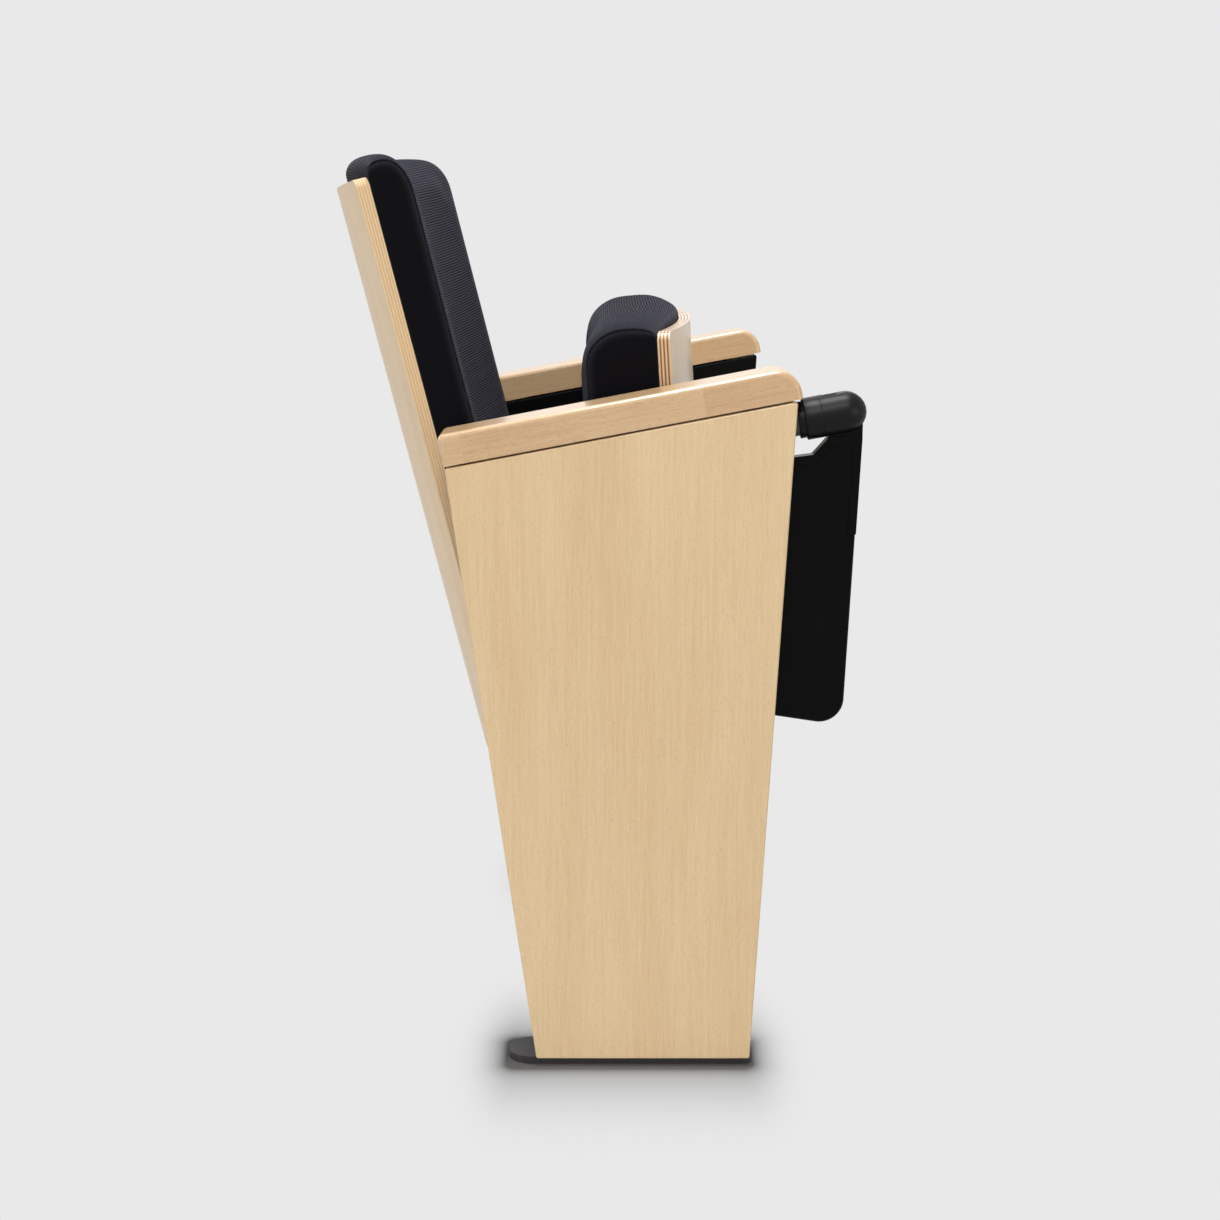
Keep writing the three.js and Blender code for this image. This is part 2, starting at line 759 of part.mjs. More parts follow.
// Cross-section of a flange, from a place in the stand's frame inwards under the shell.
function flangeSection(sag, start, place) {
  const tip = seatMiddle - sideHalf + flangeReach;
  const thick = flangeThickness * flangeSkew(sag);
  const section = new THREE.Shape();
  section.moveTo(start, place(flangeLine(sag, seatMiddle - start)));
  section.lineTo(tip, place(flangeLine(sag, seatMiddle - tip)));
  section.lineTo(tip, place(flangeLine(sag, seatMiddle - tip) + thick));
  section.lineTo(start, place(flangeLine(sag, seatMiddle - start) + thick));
  return section;
}

// Stands a geometry, drawn along Y with its head up, on the outside of a flange.
function ontoFlange(geometry, { sag, offset, facing, along }) {
  const lean = Math.atan(flangeSlope(sag));
  const x = sideHalf - flangeReach / 2;
  const depth = flangeLine(sag, x) + (flangeThickness + fit) * flangeSkew(sag);
  geometry.rotateZ(facing > 0 ? lean : Math.PI - lean);
  geometry.translate(seatMiddle - x, facing * (offset + depth), along);
  return geometry;
}

// Clearance hole of a screw through flange and shell.
function screwHole(place) {
  const deep = flangeThickness + screwBite + 3 * fit;
  const radius = screwRadius + fit;
  const geometry = new THREE.CylinderGeometry(radius, radius, deep + cutOverrun, 12);
  geometry.translate(0, (cutOverrun - deep) / 2, 0);
  return ontoFlange(geometry, place);
}

// Wood screw that holds a flange to a shell.
function shellScrew(name, place) {
  const deep = flangeThickness + screwBite + fit;
  const profile = [
    [0, -deep],
    [screwRadius, -deep],
    [screwRadius, 0],
    [screwHeadRadius, 0],
    [screwHeadRadius, screwHead / 3],
    [screwHeadRadius * 0.6, screwHead],
    [0, screwHead],
  ].map(([radius, height]) => new THREE.Vector2(radius, height));
  return piece(name, ontoFlange(new THREE.LatheGeometry(profile, 12), place), bareSteel);
}

// Plywood shell: an arc in plan, extruded along its height and trimmed to a rounded outline.
function curvedShell(sag, low, high) {
  const radius = arcRadius(sag);
  const half = Math.asin(sideHalf / radius) * 1.1;
  const centre = sag - radius;
  const section = new THREE.Shape();
  section.absarc(0, centre, radius, Math.PI / 2 - half, Math.PI / 2 + half, false);
  section.absarc(0, centre, radius + plyThickness, Math.PI / 2 + half, Math.PI / 2 - half, true);
  const bent = new THREE.ExtrudeGeometry(section, {
    depth: high - low,
    bevelEnabled: false,
    curveSegments: 26,
  });
  bent.translate(0, 0, low);
  const outline = roundedShape(
    [[-sideHalf, low], [sideHalf, low], [sideHalf, high], [-sideHalf, high]],
    shellCorner,
  );
  const frontView = new THREE.ExtrudeGeometry(outline, {
    depth: sag + 4 * plyThickness,
    bevelEnabled: false,
    curveSegments: 4,
  });
  frontView.rotateX(Math.PI / 2);
  frontView.translate(0, sag + 2 * plyThickness, 0);
  return shared(bent, frontView);
}

// Padded cushion as one closed skin: a side profile swept across the width, with flat boxed ends.
// profile(x, share) gives the points [depth, place along the cushion] going once round.
function cushionSkin({ stations, profile }) {
  const positions = [];
  const half = sideHalf;
  const loops = stations.map((share) => {
    const x = share * half;
    return profile(x, share).map(([n, t]) => [x, n, t]);
  });
  for (const loop of loops) for (const point of loop) positions.push(...point);
  const count = loops[0].length;
  const index = [];
  for (let i = 0; i < loops.length - 1; i += 1) {
    for (let j = 0; j < count; j += 1) {
      const a = i * count + j;
      const b = i * count + ((j + 1) % count);
      index.push(a, b, a + count, b, b + count, a + count);
    }
  }
  const ends = [0, loops.length - 1].map((i) => {
    const loop = loops[i];
    const middle = loop.reduce((sum, p) => [sum[0] + p[0], sum[1] + p[1], sum[2] + p[2]], [0, 0, 0]);
    positions.push(middle[0] / count, middle[1] / count, middle[2] / count);
    return positions.length / 3 - 1;
  });
  const lastStart = (loops.length - 1) * count;
  for (let j = 0; j < count; j += 1) {
    const next = (j + 1) % count;
    index.push(ends[0], next, j);
    index.push(ends[1], lastStart + j, lastStart + next);
  }
  const geometry = new THREE.BufferGeometry();
  geometry.setAttribute('position', new THREE.Float32BufferAttribute(positions, 3));
  geometry.setIndex(index);
  geometry.computeVertexNormals();
  return geometry;
}

// Points round a rounded rectangle in (depth, height). Each corner has its own radius, or two
// of them, through the cushion and along it.
function boxedLoop(low, high, floor, top, radii, cornerSteps, edgeSteps) {
  const corners = [
    { n: floor, t: low, from: Math.PI, r: radii[0] },
    { n: top, t: low, from: Math.PI * 1.5, r: radii[1] },
    { n: top, t: high, from: 0, r: radii[2] },
    { n: floor, t: high, from: Math.PI / 2, r: radii[3] },
  ];
  const signs = [[1, 1], [-1, 1], [-1, -1], [1, -1]];
  const arcs = corners.map((corner, i) => {
    const [across, along = across] = [corner.r].flat();
    const cn = corner.n + signs[i][0] * across;
    const ct = corner.t + signs[i][1] * along;
    return Array.from({ length: cornerSteps + 1 }, (_, k) => {
      const angle = corner.from + (k / cornerSteps) * (Math.PI / 2);
      return [cn + across * Math.cos(angle), ct + along * Math.sin(angle)];
    });
  });
  const loop = [];
  arcs.forEach((arc, i) => {
    loop.push(...arc);
    const [fromN, fromT] = arc[arc.length - 1];
    const [toN, toT] = arcs[(i + 1) % arcs.length][0];
    for (let k = 1; k < edgeSteps[i]; k += 1) {
      const share = k / edgeSteps[i];
      loop.push([fromN + (toN - fromN) * share, fromT + (toT - fromT) * share]);
    }
  });
  return loop;
}

const stationShares = [-1, -0.985, -0.95, -0.88, -0.76, -0.6, -0.42, -0.22, 0,
  0.22, 0.42, 0.6, 0.76, 0.88, 0.95, 0.985, 1];

// Swell of a crowned cover: none at the seams, full towards the middle.
function swell(share) {
  return 1 - Math.pow(Math.abs(share), 4);
}

// Seat cushion: thick boxing, round nose, a dished and crowned top.
function seatCushion(name) {
  const geometry = cushionSkin({
    stations: stationShares,
    profile: (x, share) => {
      const floor = -seatEdgeDepth - arcDepth(seatSag, x) + fit * 2;
      const crown = seatCrown * swell(share);
      const top = -seatEdgeDepth + seatCushionThickness - seatDish * (1 - share * share) + crown;
      const low = -seatCushionRear - crown / 2;
      const rounds = [seatSmallRound, seatHeel, [seatNose, seatNoseReach], seatSmallRound];
      const high = seatCushionFront + seatFrontCrown * swell(share);
      return boxedLoop(low, high, floor, top, rounds, 5, [5, 8, 4, 8]);
    },
  });
  return piece(name, geometry, blackFabric);
}

// Back cushion: an even pad that follows the shell and rolls over at the top.
function backCushion(name) {
  const geometry = cushionSkin({
    stations: stationShares,
    profile: (x, share) => {
      const floor = backEdgeOffset + arcDepth(backSag, x) - fit * 2;
      const crown = backCrown * swell(share);
      const face = floor - backCushionThickness - crown;
      const low = backCushionBottom - crown / 2;
      const high = backCushionTop + backTopCrown * swell(share);
      const topRound = [backTopRound, backTopRoundReach];
      const rounds = [seatSmallRound, backBottomRound, topRound, backTopRearRound];
      const loop = boxedLoop(low, high, -floor, -face, rounds, 6, [4, 10, 2, 10]);
      return loop.map(([n, t]) => [-n, t]).reverse();
    },
  });
  return piece(name, geometry, blackFabric);
}

// Seat

// Hinge arm beside the seat: a plate with a boss, and a flange under the shell.
function hingeArmPiece(name) {
  const outer = seatMiddle - sideHalf - hingeArmGap - hingeArm;
  const radii = hingeArmCorners.map((_, i) => hingeArmCorner * (i === 0 || i === 5 ? 1 / 3 : 1));
  const web = slab(roundedShape(hingeArmCorners, radii), outer, outer + hingeArm);
  const section = flangeSection(seatSag, outer, (n) => -seatEdgeDepth - n);
  const height = hingeArmUp + hingeArmDown;
  const flange = new THREE.ExtrudeGeometry(section, { depth: height, bevelEnabled: false });
  flange.translate(0, 0, -hingeArmDown);
  const boss = barX(hingeBossRadius, outer, outer + hingeArm);
  const bushSeat = pinRadius + runningGap + bushWall + fit;
  const bore = barX(bushSeat, outer - cutOverrun, outer + hingeArm + cutOverrun);
  const cut = [bore, ...seatScrews.map((place) => screwHole(place))];
  return piece(name, carve(web, { add: [flange, boss], cut }), blackSteel);
}

// Flanged nylon bush in the hinge arm.
function bush(name) {
  const outer = seatMiddle - sideHalf - hingeArmGap - hingeArm;
  const inner = pinRadius + runningGap;
  const face = outer - fit;
  const geometry = turnedRing([
    [face - bushFlange, inner],
    [face - bushFlange, bushFlangeRadius],
    [face, bushFlangeRadius],
    [face, inner + bushWall],
    [outer + hingeArm, inner + bushWall],
    [outer + hingeArm, inner],
  ]);
  return piece(name, geometry, paleNylon);
}

// A turned ring along X, whose profile closes on itself.
function turnedRing(profile) {
  const closed = [...profile, profile[0]];
  const geometry = new THREE.LatheGeometry(closed.map(([x, r]) => new THREE.Vector2(r, x)), roundSides);
  geometry.rotateZ(-Math.PI / 2);
  return geometry;
}

// A geometry mirrored across the middle of the seat, with its faces turned back outwards.
function mirrored(geometry) {
  const bare = geometry.index ? geometry.toNonIndexed() : geometry.clone();
  bare.scale(-1, 1, 1);
  const position = bare.attributes.position;
  for (let i = 0; i < position.count; i += 3) {
    const [x, y, z] = [position.getX(i), position.getY(i), position.getZ(i)];
    position.setXYZ(i, position.getX(i + 1), position.getY(i + 1), position.getZ(i + 1));
    position.setXYZ(i + 1, x, y, z);
  }
  return bare;
}

// Holes for the screws of both flanges, in the middle's frame.
function holesBothSides(places) {
  return places.flatMap((place) => {
    const hole = screwHole(place);
    hole.translate(-seatMiddle, 0, 0);
    return [hole, mirrored(hole)];
  });
}

// Plywood seat shell, curved across and convex to the front when tipped.
function seatShell(name) {
  const geometry = curvedShell(seatSag, -seatRearEnd, seatFrontEnd);
  geometry.rotateZ(Math.PI);
  geometry.translate(0, -seatEdgeDepth, 0);
  return piece(name, carve(geometry, { cut: holesBothSides(seatScrews) }), beechPly);
}

// Plywood back shell.
function backShell(name) {
  const geometry = curvedShell(backSag, backBottomEnd, backTopEnd);
  geometry.translate(0, backEdgeOffset, 0);
  return piece(name, carve(geometry, { cut: holesBothSides(backScrews) }), beechPly);
}

// Writing tablet. It is drawn from its pivot, in the stand's frame.
const tabletPivotHeight = tubeAxis(-tabletPivotFront);
const tabletFace = cavityMiddle - (tabletThickness + fit + carrierPlate) / 2;
const tabletBack = tabletFace + tabletThickness + fit + carrierPlate;

// Front edge of the tablet at a height from the pivot.
function tabletFrontEdge(z) {
  const share = (-z - neckStart) / (tabletLow - neckStart);
  return -tabletFrontTop + (tabletFrontTop - tabletFrontLow) * share;
}

// Top edge of the tablet at a place behind the pivot.
function tabletTopEdge(y) {
  const share = (y - tabletTopBack) / (tabletRearEdge - tabletTopBack);
  return -tabletTopDrop - (tabletRearTop - tabletTopDrop) * share;
}

const carrierCorners = [
  [tabletFrontEdge(-neckStart) - carrierProud, -neckStart],
  [tabletFrontEdge(-carrierDrop) - carrierProud, -carrierDrop],
  [carrierReach / 2, -carrierDrop],
  [carrierReach, -carrierDrop + carrierSlant],
  [carrierReach, tabletTopEdge(carrierReach) + carrierProud],
  [tabletTopBack, -tabletTopDrop + carrierProud],
  [neckBack, -neckStart],
];

// The board's place in the carrier: rimmed in front and above, open below and behind.
function pocketCorners(rim) {
  const open = -tabletCorner;
  return insetOutline(carrierCorners, [rim, open, open, open, rim, rim, rim]);
}

// Sleeve with a round end and a narrower collar, on the front end of the tube, slotted for the
// carrier's knuckle.
function tabletHead(name) {
  const arcSteps = 6;
  const dome = Array.from({ length: arcSteps }, (_, i) => {
    const angle = ((i + 1) / arcSteps) * (Math.PI / 2);
    return [headRadius * Math.cos(angle), headRadius * Math.sin(angle)];
  });
  const bore = tubeRadius + fit;
  const profile = [
    [0, headBoreDepth - headRear],
    [bore, headBoreDepth - headRear],
    [bore, -headRear - headCollar],
    [headCollarRadius - fit, -headRear - headCollar],
    [headCollarRadius, fit - headRear - headCollar],
    [headCollarRadius, -headRear],
    [headRadius - fit, -headRear],
    [headRadius, -headRear + fit],
    [headRadius, 0],
    ...dome.slice(0, -1),
    [0, headRadius],
  ].map(([radius, height]) => new THREE.Vector2(radius, height));
  const body = new THREE.LatheGeometry(profile, headSides);
  body.rotateX(Math.PI - armSlope);
  body.translate(cavityMiddle, 0, 0);
  const halfSlot = knuckleWidth / 2 + sparePlay;
  const slot = block(
    [cavityMiddle - halfSlot, -headRadius - cutOverrun, -headRadius * 2],
    [cavityMiddle + halfSlot, knuckleRadius + headSlotBack, headRadius * 2],
  );
  const pinStart = cavityMiddle - tabletPinHalf - fit;
  const pinHole = barX(tabletPinRadius + fit, pinStart, cavityMiddle + headRadius + cutOverrun);
  const geometry = carve(body, { cut: [slot, pinHole] });
  geometry.translate(0, -tabletPivotFront, tabletPivotHeight);
  return piece(name, geometry, satinBlack);
}

// Hinge pin of the tablet.
function tabletPin(name) {
  const geometry = barX(
    tabletPinRadius,
    cavityMiddle - tabletPinHalf,
    cavityMiddle + tabletPinHalf - fit,
    -tabletPivotFront,
    tabletPivotHeight,
    24,
  );
  return piece(name, geometry, bareSteel);
}

// Screw places on the carrier, from the pivot.
const tabletScrews = [
  [carrierRim, -carrierDrop + carrierRim * 2],
  [carrierReach - carrierRim * 2, -tabletRearTop - carrierRim],
];

// Carrier: knuckle, neck and a rimmed plate that holds the board's upper front corner.
function tabletCarrier(name) {
  const half = knuckleWidth / 2;
  const [frontTop] = carrierCorners;
  const radii = [0, carrierCorner, carrierCorner * 4, carrierCorner * 4, carrierCorner, carrierCorner, 0];
  const plate = slab(roundedShape(carrierCorners, radii), tabletFace, tabletBack);
  const place = roundedShape(pocketCorners(carrierRim), 0);
  const pocket = slab(place, tabletFace - cutOverrun, tabletBack - carrierPlate);
  const neck = slab(roundedShape([
    [frontTop[0], 0],
    [frontTop[0], -neckStart - carrierRim / 2],
    [neckBack, -neckStart - carrierRim / 2],
    [neckBack, 0],
  ], 0), cavityMiddle - half, cavityMiddle + half);
  const knuckle = barX(knuckleRadius, cavityMiddle - half, cavityMiddle + half);
  const screwEnd = tabletBack + cutOverrun;
  const cut = [
    barX(tabletPinRadius + runningGap, cavityMiddle - knuckleWidth, cavityMiddle + knuckleWidth),
    ...tabletScrews.map(([y, z]) => barX(tabletScrewRadius + fit, tabletFace, screwEnd, y, z, 12)),
  ];
  return piece(name, carve(carve(plate, { cut: [pocket] }), { add: [neck, knuckle], cut }), satinBlack);
}

// Tablet board, let into the carrier's rim.
function tabletBoard(name) {
  const corners = [
    [tabletFrontEdge(-neckStart), -neckStart],
    [tabletFrontEdge(-tabletLow), -tabletLow],
    [tabletRearEdge, -tabletRearLow],
    [tabletRearEdge, -tabletRearTop],
    [tabletTopBack, -tabletTopDrop],
    [neckBack, -neckStart],
  ];
  const radii = [0, tabletCorner, tabletCorner, tabletCorner, tabletCorner / 3, 0];
  const board = slab(roundedShape(corners, radii), tabletFace, tabletFace + tabletThickness, tabletEase, 8);
  const from = tabletFace - cutOverrun;
  const to = tabletFace + tabletThickness + cutOverrun;
  const outside = slab(roundedShape(insetOutline(carrierCorners, -fit), 0), from, to);
  const inside = slab(roundedShape(pocketCorners(carrierRim + fit), 0), from - fit, to + fit);
  const holes = tabletScrews.map(([y, z]) => (
    barX(tabletScrewRadius + fit, tabletFace + tabletThickness / 3, tabletBack, y, z, 12)
  ));
  return piece(name, carve(board, { cut: [carve(outside, { cut: [inside] }), ...holes] }), satinBlack);
}

// Screw through the carrier's plate into the board.
function tabletScrew(name, [y, z]) {
  const face = tabletBack + fit;
  return piece(name, turnedX([
    [tabletFace + tabletThickness / 3 + fit, 0],
    [tabletFace + tabletThickness / 3 + fit, tabletScrewRadius],
    [face, tabletScrewRadius],
    [face, tabletScrewHead],
    [face + stopHead / 2, tabletScrewHead],
    [face + stopHead, tabletScrewHead / 2],
    [face + stopHead, 0],
  ], y, z, 12), bareSteel);
}

// Rubber buffer on the post that the stowed tablet rests against.
function tabletBuffer(name) {
  const from = tabletRearEdge - tabletPivotFront + fit;
  const to = postFront - fit;
  const geometry = new THREE.CylinderGeometry(tabletBufferRadius, tabletBufferRadius, to - from, 20);
  geometry.translate(cavityMiddle, (from + to) / 2, tabletPivotHeight - tabletRearLow + tabletCorner * 2);
  return piece(name, geometry, blackRubber);
}

// Assembly

// One side stand with everything that is fixed to it.
function stand(side, tubeFront, battenTop) {
  const reclined = assembly([backBracket(`${side}_back_bracket`)]);
  reclined.rotation.x = -backRecline;
  return assembly([
    footPlate(`${side}_foot_plate`),
    post(`${side}_post`),
    armTube(`${side}_arm_tube`, tubeFront),
    armBar(`${side}_arm_bar`),
    pivotPlate(`${side}_pivot_plate`, bracketBolts),
    outerPanel(`${side}_outer_panel`),
    innerPanel(`${side}_inner_panel`, bracketBolts, [upStop, downStop]),
    rearBatten(`${side}_rear_batten`),
    frontBatten(`${side}_front_batten`, battenTop),
    armrest(`${side}_armrest`),
    pivotPin(`${side}_pivot_pin`),
    pinClip(`${side}_pin_clip`),
    returnSpring(`${side}_return_spring`),
    stopPiece(`${side}_up_stop`, upStop),
    stopPiece(`${side}_down_stop`, downStop),
    bracketBolt(`${side}_bracket_bolt_low`, bracketBolts[0]),
    bracketBolt(`${side}_bracket_bolt_high`, bracketBolts[1]),
    reclined,
  ], -seatMiddle);
}

// The two screws, hinge arm and bush of one side of the seat.
function seatSide(side) {
  return assembly([
    hingeArmPiece(`${side}_hinge_arm`),
    bush(`${side}_pivot_bush`),
    shellScrew(`${side}_seat_screw_rear`, seatScrews[0]),
    shellScrew(`${side}_seat_screw_front`, seatScrews[1]),
  ], -seatMiddle);
}

// The screws of one side of the back.
function backSide(side) {
  return assembly([
    shellScrew(`${side}_back_screw_low`, backScrews[0]),
    shellScrew(`${side}_back_screw_high`, backScrews[1]),
  ], -seatMiddle);
}

// A group turned into its mirror image across the middle.
function otherHand(group) {
  const hand = assembly([group]);
  hand.scale.x = -1;
  return hand;
}

const spigotEnd = -tabletPivotFront + (headRear - headBoreDepth + fit) * Math.cos(armSlope);
const plainEnd = -boardTopFront + tubeFrontSetback;
const closedTop = armUnder(-boardFootFront) - tubeDrop - frameWidth;

const rightStand = stand('right', spigotEnd, stubTop);
const leftStand = otherHand(stand('left', plainEnd, closedTop));

const tablet = assembly([
  tabletCarrier('tablet_carrier'),
  tabletBoard('tablet_board'),
  tabletScrew('tablet_screw_front', tabletScrews[0]),
  tabletScrew('tablet_screw_rear', tabletScrews[1]),
], -seatMiddle, -tabletPivotFront, tabletPivotHeight);
const tabletMount = assembly([
  tabletHead('tablet_head'),
  tabletPin('tablet_pin'),
  tabletBuffer('tablet_buffer'),
], -seatMiddle);

const back = assembly([
  backShell('back_shell'),
  backCushion('back_cushion'),
  backSide('right'),
  otherHand(backSide('left')),
]);
back.rotation.x = -backRecline;

const seat = assembly([
  seatShell('seat_shell'),
  seatCushion('seat_cushion'),
  seatSide('right'),
  otherHand(seatSide('left')),
], 0, pivotRear, pivotHeight);
seat.rotation.x = -seatLean;

// The origin is on the floor, under the middle of the whole seat.
const chair = assembly([rightStand, leftStand, tabletMount, tablet, back, seat]);
chair.updateMatrixWorld(true);
const extent = new THREE.Box3().setFromObject(chair, true);
chair.position.y = -(extent.min.y + extent.max.y) / 2;

export default assembly([chair]);
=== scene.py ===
"""Dressed model of a tip up auditorium seat with a folding writing tablet.

Lengths are in metres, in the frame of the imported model: X across the seat, Y from front
to back and Z up. The seat is shown tipped up, as it stands when nobody sits on it.
"""
import json
import logging
import math
from dataclasses import dataclass
from enum import Enum

import bpy
import numpy as np
from bpy.types import Material, Mesh, Node, NodeSocket, NodeTree, Object
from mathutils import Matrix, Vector


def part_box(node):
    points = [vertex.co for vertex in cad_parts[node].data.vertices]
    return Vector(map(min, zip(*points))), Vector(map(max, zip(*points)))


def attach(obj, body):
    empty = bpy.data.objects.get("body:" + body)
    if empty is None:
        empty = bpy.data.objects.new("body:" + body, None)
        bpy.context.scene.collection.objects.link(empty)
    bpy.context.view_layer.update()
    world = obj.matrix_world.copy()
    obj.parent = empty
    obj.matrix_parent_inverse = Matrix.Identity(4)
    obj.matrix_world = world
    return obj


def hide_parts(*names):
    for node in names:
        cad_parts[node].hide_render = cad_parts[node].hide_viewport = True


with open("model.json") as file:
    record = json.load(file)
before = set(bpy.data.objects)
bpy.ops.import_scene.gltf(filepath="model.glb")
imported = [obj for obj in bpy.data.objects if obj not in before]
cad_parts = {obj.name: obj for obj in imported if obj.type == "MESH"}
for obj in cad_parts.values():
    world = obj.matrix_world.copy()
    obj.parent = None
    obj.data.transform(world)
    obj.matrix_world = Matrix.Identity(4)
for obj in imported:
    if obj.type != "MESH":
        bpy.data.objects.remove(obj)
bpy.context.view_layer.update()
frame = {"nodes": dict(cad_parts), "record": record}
LOG = logging.getLogger("seat")

ARM_SLOPE = math.radians(10.8)
BACK_LEAN = math.radians(13.9)
SEAT_LEAN = math.radians(3.5)
# The seat's pins lie this far in front of the line that depths are measured from.
PIN_AHEAD = 0.020
DATUM_Y = (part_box("right_pivot_pin")[0].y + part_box("right_pivot_pin")[1].y) / 2 + PIN_AHEAD
PIVOT = (DATUM_Y - PIN_AHEAD, 0.392)
# The cloth map's second coordinate from which a point lies on the boxing of a cushion.
BOXING = 5.0
# Share of an edge's ease at which its middle loop lies.
EASED = 0.3
# Loops and poles of a closed skin.
Skin = tuple[np.ndarray, np.ndarray]


def linear(red: int, green: int, blue: int) -> tuple[float, float, float, float]:
    """Gives the linear colour of an 8 bit screen colour.

    Args:
        red, green, blue: channel values from 0 to 255.

    Returns:
        Linear red, green, blue and full alpha.
    """
    share = np.array([red, green, blue]) / 255.0
    low = share / 12.92
    high = ((share + 0.055) / 1.055) ** 2.4
    return (*np.where(share <= 0.04045, low, high).tolist(), 1.0)


def added(name: str, data: object) -> Object:
    """Makes an object and puts it in the scene."""
    made = bpy.data.objects.new(name, data)
    bpy.context.scene.collection.objects.link(made)
    return made


class Grain(Enum):
    """Turn of the coordinates that brings the grain onto the pattern's long axis."""

    UPRIGHT = 0.0
    ALONG_ARM = ARM_SLOPE - math.pi / 2
    ALONG_BACK = BACK_LEAN
    ALONG_SEAT = SEAT_LEAN


class Term:
    """Output of a node, to which the signs of arithmetic add Math nodes."""

    def __init__(self, graph: "Graph", socket: NodeSocket) -> None:
        """Keeps the graph and the output."""
        self.graph, self.socket = graph, socket

    def __add__(self, other: object) -> "Term":
        """Sum."""
        return self.graph.math("ADD", self, other)

    def __sub__(self, other: object) -> "Term":
        """Difference."""
        return self.graph.math("SUBTRACT", self, other)

    def __rsub__(self, other: object) -> "Term":
        """Difference from a plain number."""
        return self.graph.math("SUBTRACT", other, self)

    def __mul__(self, other: object) -> "Term":
        """Product."""
        return self.graph.math("MULTIPLY", self, other)

    def __truediv__(self, other: object) -> "Term":
        """Quotient."""
        return self.graph.math("DIVIDE", self, other)


class Graph:
    """Adds nodes to one node tree and links them."""

    def __init__(self, tree: NodeTree) -> None:
        """Keeps the tree that nodes are added to."""
        self.tree = tree

    def node(self, kind: str, values: dict | None = None, **settings: object) -> Node:
        """Adds a node.

        Args:
            kind: node type without its ShaderNode prefix.
            values: input name or index to a plain value or to an output to link.
            settings: attributes of the node.

        Returns:
            The node.
        """
        made = self.tree.nodes.new(kind if kind.startswith("Node") else "ShaderNode" + kind)
        for key, value in settings.items():
            setattr(made, key, value)
        for key, value in (values or {}).items():
            self.feed(made.inputs[key], value)
        return made

    def feed(self, target: NodeSocket, value: object) -> None:
        """Links an output to an input, or sets the input to a plain value."""
        value = value.socket if isinstance(value, Term) else value
        if isinstance(value, NodeSocket):
            self.tree.links.new(value, target)
        else:
            target.default_value = value

    def take(self, kind: str, output: str | int, values: dict | None = None, **settings: object) -> Term:
        """Adds a node and gives one of its outputs."""
        return Term(self, self.node(kind, values, **settings).outputs[output])

    def parts(self, vector: object) -> dict[str, Term]:
        """Gives a vector's X, Y and Z."""
        outputs = self.node("SeparateXYZ", {0: vector}).outputs
        return {axis: Term(self, outputs[axis]) for axis in "XYZ"}

    def math(self, operation: str, *values: object, clamp: bool = False) -> Term:
        """Adds a Math node and gives its output."""
        return self.take("Math", 0, dict(enumerate(values)), operation=operation, use_clamp=clamp)

    def drawn_out(self, vector: object, share: float) -> Term:
        """Scales a vector's Z down to a share, which draws a pattern out along Z."""
        return self.take("VectorMath", "Vector", {0: vector, 1: (1, 1, share)}, operation="MULTIPLY")

    def noise(self, vector: object, scale: object, detail: float = 2.0, rough: float = 0.5) -> Term:
        """Adds a noise texture and gives its value."""
        values = {"Vector": vector, "Scale": scale, "Detail": detail, "Roughness": rough}
        return self.take("TexNoise", "Fac", values)

    def step(self, value: object, low: float, high: float) -> Term:
        """Gives 0 below low and 1 above high, with a smooth climb between."""
        values = {"Value": value, "From Min": low, "From Max": high}
        return self.take("MapRange", "Result", values, interpolation_type="SMOOTHSTEP")

    def mix(self, factor: object, first: object, second: object) -> Term:
        """Mixes two colours."""
        return self.take("Mix", 2, {0: factor, 6: first, 7: second}, data_type="RGBA")


